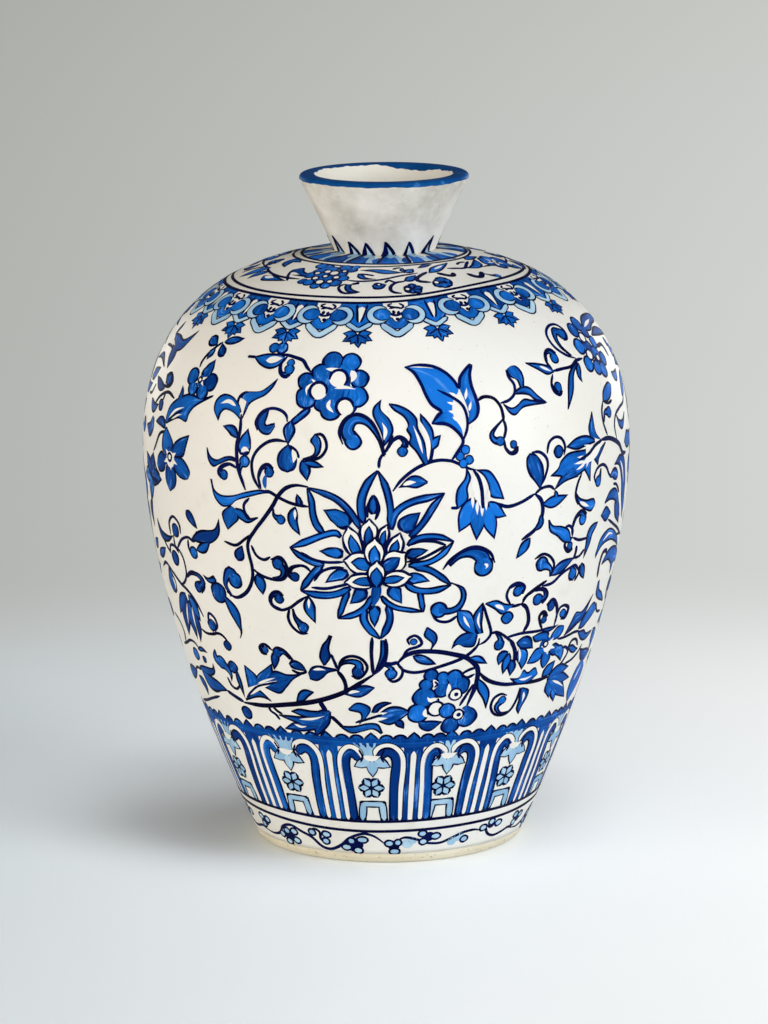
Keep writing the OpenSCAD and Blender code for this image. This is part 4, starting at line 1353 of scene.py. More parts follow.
def ring(paint, level, arc, width, tilt=0.0, rise=0.0):
    """A brushed line or band all the way round. It rises by the last value at both sides."""
    degrees = np.linspace(-180, 180, RING_POINTS)[:, None]
    across = brush_columns(width / 2)
    waver = RING_WAVER * np.sin(np.radians(RING_WAVES * degrees) + arc) + tilt * shoulder_tilt(degrees)
    waver += rise * np.sin(np.radians(degrees)) ** 2
    along = np.linspace(0, 1, RING_POINTS)
    lay(paint, level, degrees + 0 * across, arc + waver + across * width / 2, across, along, RING_TONE)


def berry(degrees, arc, width):
    """A pale berry or petal with a dark outline, in the vine round the foot."""
    half = width / 2 / math.radians(radius_at(arc))
    inner = half * (1 - 2 * OUTLINE / width)
    inner_high = BERRY_HIGH - 2 * OUTLINE
    stroke("line", EDGE_COAT, ((degrees - half, arc), (degrees + half, arc)), BERRY_HIGH, disc_shape)
    stroke("pale", WASH_COAT, ((degrees - inner, arc), (degrees + inner, arc)), inner_high, disc_shape)


def paint_foot_vine():
    """A third of the vine round the foot, with its clusters of pale petals."""
    vine(1.5, (-60, 4.3), (-55, 3.8), (-50.2, 5.5), (-47, 9.6), (-42, 11.4), (-37.2, 9), (-32.8, 6.7),
         (-29, 2.4), (-24.8, 1.4), (-19.8, 4.3), (-16, 8.4), (-10.5, 11.2), (-6.2, 10), (-2.2, 6.1))
    vine(1.4, (2.5, 7.3), (6.2, 9.2), (11.8, 7.3), (15, 5.5), (20.5, 4.9), (24.8, 6.7), (29.8, 9),
         (34.8, 9.6), (38.4, 8.6))
    vine(1.4, (40.3, 11.4), (42.8, 6.1), (47, 3.7), (52, 4.4), (56.4, 5.6), (60, 4.3))
    line((-33, 7), (-31, 11.6), (-28.4, 10.2), (-28.6, 6.6), (-26.6, 4.6))
    spots("line", EDGE_COAT, (-44.6, 5.2, 3.4), (-14.4, 4.8, 4), (1.6, 4.6, 2.6), (15.6, 9, 2.6),
          (43.8, 10.6, 2.2), (-58.6, 9.6, 2.6))
    spots("pale", VINE_COAT, (7, 5.8, 2.6), (9, 7.4, 2), (25.6, 4.9, 2.2), (28.6, 7, 2.4))
    berries = (
        (-60.8, 11.4, 5), (-60.6, 7.4, 4.4), (-56.6, 10.6, 4.8), (-45.4, 7.6, 4.6), (-41.4, 8, 5),
        (-41.2, 3.2, 5.2), (-45.8, 1.8, 4.8), (-48.8, 5.2, 4.4), (-32, 9.6, 4.6), (-25.6, 9.4, 5.2),
        (-26.4, 5.6, 4.6), (-10.9, 7.8, 6), (-17.7, 3.3, 5.6), (-13, 1.8, 5.2), (-15.4, 6.9, 4.4),
        (-0.2, 6, 5), (1.9, 1.5, 5.6), (3.2, 6.4, 4.2), (12.8, 10.9, 4.8), (18.2, 9, 5.6),
        (13.4, 6.4, 4.8), (31.2, 5.4, 4.8), (39.8, 9.6, 5), (43.6, 12, 4.6), (47.8, 10.4, 5.2),
    )
    for degrees, arc, width in berries:
        berry(degrees, arc, width)


def panel_foot(degrees):
    """Arc length at which the panels stand on their ring."""
    return PANEL_FOOT + PANEL_FOOT_RISE * math.sin(math.radians(degrees)) ** 2


def paint_panel(middle):
    """One petal panel: a hanging star, a small flower and a square arch."""
    at = around(middle)
    left_edge = at((-5.6, 60.4), (-3.6, 57), (-2.7, 53), (-2.6, 49))
    right_edge = at((5.6, 60.4), (3.6, 57), (2.7, 53), (2.6, 49))
    patch("pale", 4.5, left_edge, right_edge)
    for tip in ((-6, 47.8), (6, 47.6), (0, 42.2)):
        arm = at((tip[0] * 0.1, 51.6), (tip[0] * 0.5, (51.8 + tip[1]) / 2), tip)
        outlined("pale", 7, arm, 6.4, heart_shape, inset=0.7)
    stroke("white", 9, at((-2.8, 53.4), (0, 52.4), (2.6, 53.6)), 3.2, leaf_shape)
    for side in (-1, 1):
        ink(1, *at((side * 3.9, 57), (side * 2.9, 53.4), (side * 3.6, 50.4)), level=9)
    flower = (middle - 0.7, 36.6)
    for turn in range(0, 360, 60):
        petal = bow(flower, 6, turn, turn)[0]
        outlined("pale", 3, (flower, petal), 4.7, bud_shape, inset=0.9)
    spot("line", 5, flower, 1.2)
    low = panel_foot(middle)
    for start, end in (((-4.7, low), (-3.7, 29)), ((3.4, low), (2.7, 29)), ((-4.8, 27.8), (3.8, 27.8))):
        outlined("pale", 3, at(start, end), 3.8, band_shape, inset=0.7)


def paint_pillar(middle):
    """The striped pillar between two panels: a slit, two bars, two white bands and two hooked canes."""
    at = around(middle)
    low = panel_foot(middle)
    stroke("blue", 4, at((0.2, 61), (0.2, 52.5)), 9.4, heart_shape)
    stroke("blue", 4, at((-2, low), (-1.8, 40), (-1.8, 60)), 3, band_shape)
    stroke("blue", 4, at((2.1, low), (1.9, 40), (2, 60)), 3, band_shape)
    left_cane = at((-5.9, low), (-5.9, 32), (-5.6, 42), (-5, 49), (-5.5, 53.4), (-7.4, 55.6), (-9.4, 54.8),
                   (-10.3, 51.6))
    right_cane = at((5.9, low), (5.6, 32), (5.1, 42), (4.9, 49), (5.6, 53.6), (7.2, 55.2), (8.8, 53.6),
                    (9, 50.5))
    for cane in (left_cane, right_cane):
        outlined("blue", 5, cane, 4.7, cane_shape, inset=0.75)
    left_band = at((-3.7, low), (-3.6, 35), (-3, 48), (-3.6, 54.5), (-6, 58.6), (-8.8, 59.2), (-11.2, 57),
                   (-12, 53))
    right_band = at((3.7, low), (3.5, 35), (3.2, 48), (3.9, 54.2), (6, 58), (8.2, 58), (10, 55.4),
                    (10.4, 52))
    for band in (left_band, right_band):
        outlined("white", 5, band, 3, cane_shape, inset=0.5)
    outlined("white", 5, at((0, low), (0, 40), (0.2, 56)), 2.9, cane_shape, inset=0.3)


def paint_petal_band():
    """The panels and pillars, with the scalloped edge above them and the ring lines below."""
    ring("blue", 4.2, 60.4, width=4.6)
    ring("line", 10, PANEL_FOOT, width=1.4, rise=PANEL_FOOT_RISE)
    ring("line", 8, 12.8, width=1.4, rise=3.4)
    for panel, following in all_round([-62, -33.8, -5.3, 18.9, 43.4, 68.5], PANELS):
        pillar = (panel + following) / 2 + PILLAR_SHIFT
        paint_panel(panel)
        paint_pillar(pillar)
        for start, end in ((panel, pillar), (pillar, following)):
            leaf(8, (start, 59), (start, 66), shape=heart_shape)
            for share in (0.36, 0.68):
                dot(start + share * (end - start), 61.5, 3.4)


def paint_lappet(middle):
    """One cloud-shaped lappet: crescents round blue hearts, a small flower between them, and a chevron."""
    at = around(middle, shoulder_tilt(middle))
    stroke("white", 5, at((0, 269), (0, 255)), 11, band_shape)
    chevron = at((-5, 256), (-2.4, 252.4), (0, 250), (2.4, 252.4), (5, 256))
    outlined("pale", 5, chevron, 3.8, line_shape, inset=0.6)
    cup = at((-3.2, 259.6), (-1.8, 256.2), (0, 254.6), (1.8, 256.2), (3.2, 259.6))
    outlined("blue", 7, cup, 4.4, line_shape, inset=0.5)
    for side in (-1, 1):
        heart, eye_of_crescent = at((4.7 * side, 261), (5.1 * side, 261))
        outlined_spot("blue", 9, heart, 4.1, inset=0.3)
        crescent = bow(eye_of_crescent, 4.4, 90 + 40 * side, 90 - 220 * side)
        outlined("pale", 11, crescent, 3.6, crescent_shape, inset=0.65)
        ink(1.1, *at((1.2 * side, 268), (2.6 * side, 266.4), (2, 264.6)), level=9)
    ink(1.2, *at((-2.2, 264.6), (0, 265.4), (2.2, 264.4)), level=9)
    ink(1.3, *at((-2.2, 262), (-0.8, 260.6), (0.8, 260.8), (2.4, 262.4)), level=9)
    stroke("line", 9, at((-0.9, 263.6), (-0.6, 261)), 1.6, leaf_shape)
    stroke("line", 9, at((1, 263.2), (0.4, 260.8)), 1.4, leaf_shape)
    spot("line", 9, at((0.3, 258.2))[0], 0.9)


def paint_lappet_gap(middle):
    """The blue wedge with a white slit between two lappets, and the star leaf that hangs under it."""
    at = around(middle, shoulder_tilt(middle))
    outlined("blue", 3, at((0, 268.6), (0, 262), (0, 253.5)), 26, wedge_shape, inset=0.6)
    ink(1.2, *at((-1.6, 268), (-1, 262), (-0.4, 257)), level=5)
    ink(1.2, *at((2, 268), (1.2, 262), (0.5, 257)), level=5)
    stroke("white", 7, at((0.2, 266.5), (0.2, 262), (0, 257)), 3.4, horn_shape)
    chevron = at((-4.2, 257), (-2, 254.6), (0, 253), (2, 254.6), (4.2, 257))
    outlined("pale", 7, chevron, 3, line_shape, inset=0.6)
    root = (0, 250.4)
    left_tips = ((-4.4, 251), (-4.2, 246.6), (-1.8, 245.2))
    right_tips = ((0.6, 243.4), (2.6, 245.6), (4.4, 247.2), (4.2, 251.6))
    for tip in left_tips + right_tips:
        outlined("blue", 3, at(root, between(root, tip), tip), 4, leaf_shape, inset=0.7)
    for tip in ((-3, 247.6), (0.4, 245.6), (3, 248)):
        ink(0.8, *at((0, 250.6), tip), level=5)


def paint_collar():
    """The lappets round the shoulder, under three ring lines."""
    for lappet, following in all_round([-80, -59.5, -39.5, -19.5, 3.5, 27.5, 51.5, 78], LAPPETS):
        paint_lappet(lappet)
        paint_lappet_gap((lappet + following) / 2)
    ring("blue", 4, 268, width=3, tilt=1)
    ring("line", 8, 269.4, width=1.5, tilt=1)
    ring("line", 3, 272.9, width=1.4, tilt=1)


def paint_shoulder_scroll():
    """The leaves, the rosette and the flowers between the collar and the neck."""
    vine(1.4, (-84, 287), (-74, 287), (-68, 285.6), (-60, 284.2), (-50, 283.6), (-41, 284))
    blade([(-64, 281.5), (-58, 283.4), (-53, 282.8), (-46.5, 281)],
          [(-64, 281.5), (-61, 278), (-56, 278.6), (-46.5, 281)])
    gleam(2.6, (-62, 281), (-59, 281.4), (-55.5, 281.6))
    blade([(-38, 289), (-44, 290.8), (-48.5, 294.2), (-53.5, 290.6)],
          [(-38, 286), (-43, 286.4), (-48, 286.6), (-53.5, 290.6)])
    gleam(2, (-50.5, 288.4), (-47.5, 287.6), (-44.5, 287.6))
    line((-53, 290.5), (-51, 287), (-48.5, 284), (-46, 281.4))
    leaf(5.4, (-72, 302), (-69, 296), (-62, 291))
    leaf(4, (-70, 297), (-66, 299), (-60, 298.6))
    leaf(6, (-71, 288), (-76, 282), (-79.6, 274.6))
    leaf(5, (-65.6, 285), (-70, 281), (-71, 276))
    line((-77, 287), (-82, 283), (-86, 277))

    dots((-40, 298.4, 3), (-35, 297.6, 3.4), (-30, 296, 3), (-23.5, 298.6, 3.2), (-19, 296.6, 3),
         (-17.5, 300, 2), (-20, 287.6, 2.8), (-22, 283, 3), (-25.5, 280.4, 2.6), (-30, 279.8, 2.6),
         (-34.5, 282, 2.8), (-38, 282.4, 2.4), (-38, 288.4, 3), (-36, 293, 3.2), (-29, 288, 6.4),
         (-24, 291, 4.6))
    eyes((-35.5, 290.6, 2), (-31, 293, 2.2), (-33.5, 286, 2.1), (-29.5, 283, 2.5), (-26.5, 292, 2.7),
         (-23.5, 288, 2.1), (-29.5, 288.4, 1.9), (-25, 284, 2), (-22, 294.6, 1.8))

    vine(1.3, (-18, 286.2), (-12, 285.4), (-6, 286), (0, 287.6), (8, 290.6), (17, 292.6))
    blade([(-17, 282.4), (-16.8, 279), (-14.5, 276), (-9.6, 276.4)],
          [(-14, 282.6), (-14, 280), (-12.5, 278), (-9.6, 276.4)])
    line((-17, 282.6), (-19.2, 280.6), (-18.4, 277.4), (-15.5, 275.2), (-10, 276.2))
    vine(1.8, (-14.4, 282.6), (-13, 283.2), (-11.2, 284))
    blade([(-14, 292.6), (-13.4, 289), (-10, 287), (-4, 287.4)],
          [(-14, 292.6), (-10.6, 291.4), (-9, 289), (-4, 287.4)])
    line((-14, 292.4), (-9, 292), (-5.4, 290.8))
    blade([(-14, 296.6), (-6, 298), (2, 297), (10, 293.6)],
          [(-14, 296.6), (-7, 295), (0, 292.6), (10, 293.6)])
    bud(6.4, (0.6, 282.6), (-2.6, 281.4), (-5.6, 281.4))
    eye(-2.6, 282.4, 1.5)
    line((0, 284), (1.6, 286.4), (4, 284.6), (6, 284))

    vine(1.6, (9, 285.2), (5, 284.2), (2.6, 281.4), (2.2, 278.4), (3.4, 276.2), (6.4, 275.2))
    petal_flower((11, 278.4), 4.2, (7.6, 280.4), (11.6, 283.2), (15.6, 279.6), (14.4, 275.4), (10.6, 274.6),
                 (7.6, 276.4))
    eye(9, 278.2, 1.8)
    leaf(4.4, (8.4, 285.6), (11, 286.6), (15.4, 290.6))
    blade([(10.4, 299.4), (8, 296.6), (10.4, 293)], [(10.4, 299.4), (11.4, 296), (10.4, 293)])
    leaf(4.4, (10, 294), (13, 295), (16.4, 297.6))
    line((4.6, 297.6), (6.6, 299), (9.6, 299.4))
    vine(2, (22.4, 293.2), (17.6, 290), (14.8, 287), (15.6, 284.6), (20.4, 283.2))
    petal_flower((25.5, 282.4), 5.6, (20.6, 279.6), (22.6, 285.6), (26.6, 287.4), (30, 284), (28.6, 279),
                 (24.6, 277.4))
    eye(22.6, 282.6, 1.9)
    spot("line", 5, (26.5, 282.4), 1.2)
    blade([(22.6, 291.8), (26, 297), (33, 299.6), (43, 301)],
          [(22.6, 291.8), (29, 292.4), (36, 296.4), (43, 301)])
    gleam(1.6, (28, 295.4), (32, 297), (36, 298.6))
    vine(2.4, (27, 291.4), (30.6, 288.4), (33.6, 287.4), (35.6, 290))
    blade([(19, 298), (24, 301.6), (31, 301.4)], [(19, 298), (25, 298.6), (31, 301.4)])
    vine(1.6, (36, 295), (41, 294), (46.4, 293), (52, 296), (58, 298.4))
    blade([(47, 292.4), (54, 294.6), (60, 297), (67, 299)],
          [(47, 292.4), (55, 290.4), (62, 292.6), (67, 299)])
    vine(2.6, (42, 287.6), (44, 284.4), (47, 283.4), (51.6, 287))
    comma(1.7, (51, 285.4), (53.4, 283), (56.6, 281.4))
    line((46, 297.4), (50, 299), (55, 298.6))
    leaf(5, (60, 300.4), (68, 301), (76, 299.4))
    vine(1.3, (58, 291), (66, 290), (74, 286.6), (84, 287), (96, 287))
    petal_flower((75, 291), 7.6, (65, 293.6), (70, 298), (82, 298), (89, 291), (82, 284.6), (70, 284.6))
    rays(1.8, (75, 291), (69, 292.6), (75, 296), (81, 293), (78, 287.4), (71, 287.6))
    eye(75, 291, 2)
    leaf(5, (92, 286), (92, 281.4), (86, 277.6))
    comma(2.4, (76, 286), (79, 282.6), (83, 282))
    petal_flower((-80, 291.6), 5, (-86, 291), (-82, 296.4), (-76.6, 293.6), (-79, 287.6))


def paint_flame(middle, lean, tall, wide):
    """One ragged flame that climbs the neck from a blue foot and leans over, with a blue leaf beside it."""
    at = around(middle)
    seam = NECK_FOOT_ARC
    tip = (lean, seam + tall)
    stroke("blue", 4, at((-1, 304.5), (0, 309), (1, 317.5)), 2.1 * wide, flame_foot_shape)
    stroke("pale", 3, at((10, 305.5), (8, 312), (6, 320), (lean, seam + tall - 2)), 1.3 * wide, horn_shape)
    stroke("pale", 5, at((2, 313), (3, 318), (3, seam + 3)), 0.8 * wide, leaf_shape)
    ink(1.4, *at((-8, 305.5), (-6, 312), (-3, 319)), level=6)
    stroke("line", 7, at((-4, seam - 2.4), (-2, seam + 2), tip), 0.85 * wide, horn_shape)
    ink(1.5, *at((9, seam - 1), (5, seam + 2.5), tip), level=6)
    stroke("blue", 4, at((13, 305), (14, 309), (15, 314)), 4.4, leaf_shape)


def paint_neck_foot():
    """Rings round the foot of the neck, and the flames, drawn on the front and again behind."""
    ring("line", 3, 301.4, width=1.2, tilt=0.3)
    ring("line", 6, 304.6, width=1.3, tilt=0.15)
    flames = (
        (-89, 2, 7, 3.4), (-60, -3, 8.4, 3.8), (-37, -3, 6.4, 3.6), (-20, 0, 6.4, 3.8),
        (3, -3, 7, 4.6), (26, -1, 6.6, 2.8), (51, 5, 8.4, 3.8),
    )
    for turn in (0, 180):
        for degrees, lean, tall, wide in flames:
            paint_flame(turn + degrees, lean, tall, wide)


# Meshes
def mesh_piece(name, points, quads, facing_out=None, brush=None, uv=None):
    """A new object from arrays of points and quads. Normals, brush marks and a map are optional."""
    mesh = bpy.data.meshes.new(name)
    mesh.vertices.add(len(points))
    mesh.vertices.foreach_set("co", points.astype(np.float32).ravel())
    mesh.loops.add(quads.size)
    mesh.loops.foreach_set("vertex_index", quads.astype(np.int32).ravel())
    mesh.polygons.add(len(quads))
    mesh.polygons.foreach_set("loop_start", np.arange(0, quads.size, 4, dtype=np.int32))
    mesh.update(calc_edges=True)
    mesh.validate()
    mesh.shade_smooth()
    if facing_out is not None:
        mesh.normals_split_custom_set_from_vertices(facing_out.tolist())
    if brush is not None:
        marks = mesh.attributes.new("brush", "FLOAT_COLOR", "POINT")
        marks.data.foreach_set("color", brush.astype(np.float32).ravel())
    if uv is not None:
        layer = mesh.uv_layers.new(name="OFBake")
        layer.data.foreach_set("uv", uv[quads.ravel()].astype(np.float32).ravel())
    piece = bpy.data.objects.new(name, mesh)
    bpy.context.scene.collection.objects.link(piece)
    return piece


def film_solid(degrees, arc, lift):
    """Closed film: the upper sheet, the sunk lower sheet and the walls between them."""
    top = np.arange(degrees.size).reshape(degrees.shape)
    under = top + degrees.size
    points = np.vstack([place(degrees, arc, height).reshape(-1, 3) for height in (lift, -SUNK)])

    def sheet(grid):
        return np.stack([grid[:-1, :-1], grid[:-1, 1:], grid[1:, 1:], grid[1:, :-1]], -1).reshape(-1, 4)

    def wall(edge, edge_under):
        return np.stack([edge[:-1], edge[1:], edge_under[1:], edge_under[:-1]], -1)

    quads = np.vstack([
        sheet(top)[:, ::-1],
        sheet(under),
        wall(top[:, 0], under[:, 0]),
        wall(top[::-1, -1], under[::-1, -1]),
        wall(top[0, ::-1], under[0, ::-1]),
        wall(top[-1], under[-1]),
    ])
    return points, quads


def paint_piece(name, strips):
    """All strips of one paint, joined in one piece."""
    points, quads, normals, brush, uv = [], [], [], [], []
    count = 0
    for _, level, degrees, arc, across, along, tone in strips:
        solid, faces = film_solid(degrees, arc, FIRST_COAT + COAT * level)
        points.append(solid)
        quads.append(faces + count)
        count += len(solid)
        out = facing(degrees, arc).reshape(-1, 3)
        normals += [out, out]
        along = along[:, None] + 0 * across
        marks = np.stack([across * 0.5 + 0.5, along, tone + 0 * across, 1 + 0 * across], -1).reshape(-1, 4)
        brush += [marks, marks]
        whole_turns = math.floor(degrees.mean() / 360 + 0.5)
        flat = np.stack([degrees / 360 + 0.5 - whole_turns, arc / BODY_ARC[-1]], -1).reshape(-1, 2)
        uv += [flat, flat]
    stack = np.vstack
    return mesh_piece(name, stack(points), stack(quads), stack(normals), stack(brush), stack(uv))


def turned(r, z, angle):
    """Points in metres on a thrown wall that is a little out of round."""
    r = r * (1 + OUT_OF_ROUND * np.sin(2 * angle + z / OUT_OF_ROUND_TURNING))
    return np.stack([r * np.sin(angle), -r * np.cos(angle), z + 0 * angle], -1) * MM


def lathe(name, profile, turns):
    """A closed ring of the profile, given as radius and height in millimetres."""
    profile = np.array(profile, float)
    angle = np.linspace(0, 2 * np.pi, turns, endpoint=False)[:, None]
    return ring_mesh(name, turned(profile[:, 0], profile[:, 1], angle))


def ring_mesh(name, points):
    """Joins a grid of points, turns by profile, that closes on itself both ways."""
    turns, count = points.shape[:2]
    grid = np.arange(turns * count).reshape(turns, count)
    right = np.roll(grid, -1, 0)
    quads = np.stack([grid, right, np.roll(right, -1, 1), np.roll(grid, -1, 1)], -1).reshape(-1, 4)
    return mesh_piece(name, points.reshape(-1, 3), quads)


# Materials
def plug(tree, value, socket):
    """Links a socket, and sets anything else."""
    if isinstance(value, bpy.types.NodeSocket):
        tree.links.new(value, socket)
    else:
        socket.default_value = value


def add(tree, kind, settings=None, **inputs):
    """A new node. Its inputs are named with underscores for spaces."""
    node = tree.nodes.new("ShaderNode" + kind)
    for name, value in (settings or {}).items():
        setattr(node, name, value)
    for name, value in inputs.items():
        plug(tree, value, node.inputs[name.replace("_", " ")])
    return node


def new_material(name, roughness, shine=0.5):
    material = bpy.data.materials.new(name)
    material.use_nodes = True
    tree = material.node_tree
    shader = tree.nodes["Principled BSDF"]
    shader.inputs["Roughness"].default_value = roughness
    shader.inputs["Specular IOR Level"].default_value = shine
    where = add(tree, "TexCoord").outputs["Object"]
    return material, tree, shader, where


def noise(tree, where, scale, detail=3.0, twist=0.0):
    return add(tree, "TexNoise", Vector=where, Scale=scale, Detail=detail, Distortion=twist).outputs["Fac"]


def spread(tree, value, low, high):
    """Stretches a value so that low becomes 0 and high becomes 1."""
    return add(tree, "MapRange", Value=value, From_Min=low, From_Max=high).outputs["Result"]


def smooth_spread(tree, value, low, high):
    """The same with a soft start and end."""
    soft = {"interpolation_type": "SMOOTHSTEP"}
    return add(tree, "MapRange", soft, Value=value, From_Min=low, From_Max=high).outputs["Result"]


def blend(tree, share, first, second):
    return add(tree, "MixRGB", Fac=share, Color1=first, Color2=second).outputs["Color"]


def math_node(tree, operation, first, second=0.0):
    node = add(tree, "Math", {"operation": operation})
    plug(tree, first, node.inputs[0])
    plug(tree, second, node.inputs[1])
    return node.outputs["Value"]


def vector_node(tree, operation, first, second):
    node = add(tree, "VectorMath", {"operation": operation}, Vector=first)
    plug(tree, second, node.inputs[1])
    return node.outputs


def join_shaders(tree, node, first, second):
    """Links two shaders to the last two inputs of a node that joins them."""
    tree.links.new(first, node.inputs[-2])
    tree.links.new(second, node.inputs[-1])
    return node.outputs["Shader"]


def relief(tree, shader, height, depth):
    """Bump of a real depth in millimetres."""
    bump = add(tree, "Bump", Height=height, Distance=depth * MM, Strength=1.0)
    tree.links.new(bump.outputs["Normal"], shader.inputs["Normal"])


def finish_colour(tree, shader, colour):
    tree.links.new(colour, shader.inputs["Base Color"])


def orange_peel(tree, shader, where):
    """The soft unevenness of a fired glaze."""
    relief(tree, shader, noise(tree, where, scale=160), depth=0.12)


def tin_glaze():
    """Cream-white glaze with warm clouds, faint grey smears, pinholes and a soft orange-peel surface."""
    material, tree, shader, where = new_material("tin_glaze", roughness=0.4, shine=0.3)
    clouds = spread(tree, noise(tree, where, scale=14, detail=4), low=0.35, high=0.7)
    colour = blend(tree, clouds, CREAM, WHITE)
    smears = spread(tree, noise(tree, where, scale=55, detail=5), low=0.62, high=0.8)
    colour = blend(tree, smears, colour, SMEAR)
    pits = spread(tree, noise(tree, where, scale=900, detail=1, twist=1.5), low=0.74, high=0.8)
    colour = blend(tree, pits, colour, PINHOLE)
    finish_colour(tree, shader, colour)
    orange_peel(tree, shader, where)
    return material


def paint_material(name, deep, bright, dry, dry_from):
    """Brushed paint: deep where it pools at the edges, brighter in the middle, streaked along its stroke.
    Where the streaks rise above the last value, the brush runs dry."""
    material, tree, shader, where = new_material(name, roughness=0.45, shine=0.03)
    marks = add(tree, "Attribute", {"attribute_name": "brush"}).outputs["Color"]
    parts = add(tree, "SeparateColor", Color=marks).outputs
    across = math_node(tree, "MULTIPLY", parts["Red"], STREAKS_ACROSS)
    along = math_node(tree, "MULTIPLY", parts["Green"], STREAKS_ALONG)
    own = math_node(tree, "MULTIPLY", parts["Blue"], STREAKS_APART)
    lane = add(tree, "CombineXYZ", X=across, Y=along, Z=own).outputs["Vector"]
    bristle = math_node(tree, "MULTIPLY", noise(tree, lane, scale=1.0), BRISTLES)
    mottle = math_node(tree, "MULTIPLY", noise(tree, where, scale=90, detail=4), 1 - BRISTLES)
    mixed = math_node(tree, "ADD", bristle, mottle)
    from_middle = math_node(tree, "ABSOLUTE", math_node(tree, "SUBTRACT", parts["Red"], 0.5))
    pooled = math_node(tree, "MULTIPLY", from_middle, -POOLING)
    toned = math_node(tree, "ADD", mixed, math_node(tree, "MULTIPLY", parts["Blue"], OWN_TONE))
    light = spread(tree, math_node(tree, "ADD", toned, pooled), low=0.36, high=0.8)
    colour = blend(tree, light, deep, bright)
    colour = blend(tree, spread(tree, mixed, dry_from, dry_from + DRY_SOFTNESS), colour, dry)
    finish_colour(tree, shader, colour)
    orange_peel(tree, shader, where)
    return material


def engobe():
    """Matte white coat on the neck, thinner and greyer towards the lip outside, cream inside, with grit."""
    material, tree, shader, where = new_material("engobe", roughness=0.7, shine=0.25)
    height = add(tree, "SeparateXYZ", Vector=where).outputs["Z"]
    to_lip = spread(tree, height, NECK_SEAT_Z * MM, VASE_H * MM)
    thinning = math_node(tree, "MULTIPLY", to_lip, COAT_THINNING)
    cover = math_node(tree, "SUBTRACT", noise(tree, where, scale=60, detail=6), thinning)
    colour = blend(tree, spread(tree, cover, low=0.15, high=0.55), THIN_COAT, FULL_COAT)
    flecks = spread(tree, noise(tree, where, scale=300, detail=4), low=0.52, high=0.8)
    colour = blend(tree, math_node(tree, "MULTIPLY", flecks, FLECK_STRENGTH), colour, COAT_FLECK)
    grit = spread(tree, noise(tree, where, scale=700, detail=2), low=0.68, high=0.8)
    colour = blend(tree, grit, colour, COAT_GRIT)
    from_axis = vector_node(tree, "MULTIPLY", where, (1, 1, 0))["Vector"]
    outward = add(tree, "TexCoord").outputs["Normal"]
    turned_out = vector_node(tree, "DOT_PRODUCT", from_axis, outward)["Value"]
    inside = spread(tree, turned_out, low=0.0, high=-0.006)
    colour = blend(tree, inside, colour, MOUTH_CREAM)
    finish_colour(tree, shader, colour)
    relief(tree, shader, noise(tree, where, scale=220, detail=5), depth=0.22)
    return material


def bare_clay(name, dark, light):
    """Dry unglazed clay with grog specks and turning lines."""
    material, tree, shader, where = new_material(name, roughness=0.85)
    patches = spread(tree, noise(tree, where, scale=45, detail=5), low=0.3, high=0.7)
    colour = blend(tree, patches, dark, light)
    grog = spread(tree, noise(tree, where, scale=800, detail=2), low=0.64, high=0.76)
    colour = blend(tree, grog, colour, GROG)
    finish_colour(tree, shader, colour)
    upright = {"bands_direction": "Z"}
    turning = add(tree, "TexWave", upright, Vector=where, Scale=140, Distortion=2.0).outputs["Fac"]
    relief(tree, shader, math_node(tree, "ADD", turning, noise(tree, where, scale=500)), depth=0.1)
    return material


def table_top():
    """Pale floor: it takes the shadow near the vase, has painted light added around it, and gives way to a
    pale backdrop further off.
    """
    material, tree, shader, where = new_material("table_top", roughness=0.6)
    grain = spread(tree, noise(tree, where, scale=6), low=0.3, high=0.7)
    finish_colour(tree, shader, blend(tree, grain, FLOOR_DULL, FLOOR_BRIGHT))

    path = add(tree, "LightPath").outputs
    seen = math_node(tree, "MAXIMUM", path["Is Camera Ray"], path["Is Glossy Ray"])
    seen = math_node(tree, "MAXIMUM", seen, path["Is Transmission Ray"])
    floor_axes = add(tree, "SeparateXYZ", Vector=where).outputs
    distance = math_node(tree, "ADD", math_node(tree, "ABSOLUTE", floor_axes["Y"]), VIEW_DISTANCE)
    to_right = spread(tree, math_node(tree, "DIVIDE", floor_axes["X"], distance), *SIDE_REACH)

    # Painted light: emission added to the floor, stronger to the right and kept off a disc left of the
    # foot, which leaves that disc darker as painted shadow
    from_shade = vector_node(tree, "DISTANCE", where, SHADE_AT)["Value"]
    clear = smooth_spread(tree, from_shade, *SHADE_REACH)
    added = blend(tree, clear, NO_LIGHT, blend(tree, to_right, *ADDED_LIGHT))
    lit = add(tree, "Emission", Color=added, Strength=seen).outputs["Emission"]
    near = join_shaders(tree, add(tree, "AddShader"), shader.outputs["BSDF"], lit)

    # The backdrop, painted darker to the left and further back as painted shade
    high = spread(tree, floor_axes["Y"], *HIGH_REACH)
    behind = blend(tree, high, blend(tree, to_right, *BEHIND), blend(tree, to_right, *BEHIND_HIGH))
    back = smooth_spread(tree, floor_axes["Y"], *BACK_REACH)
    tone = blend(tree, back, blend(tree, to_right, *BEFORE), behind)
    backdrop = add(tree, "Emission", Color=tone, Strength=1.0).outputs["Emission"]

    from_vase = add(tree, "VectorMath", {"operation": "LENGTH"}, Vector=where).outputs["Value"]
    far = smooth_spread(tree, from_vase, *BACKDROP_REACH)
    share = math_node(tree, "MULTIPLY", far, seen)
    whole = join_shaders(tree, add(tree, "MixShader", Fac=share), near, backdrop)
    tree.links.new(whole, tree.nodes["Material Output"].inputs["Surface"])
    return material


# Pieces
def wear(piece, material, slot, *nodes):
    """Gives a piece its material, its body and the solids that it stands for. The slot is not used."""
    piece.data.materials.clear()
    piece.data.materials.append(material)
    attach(piece, "root")
    if nodes:
        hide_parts(*nodes)


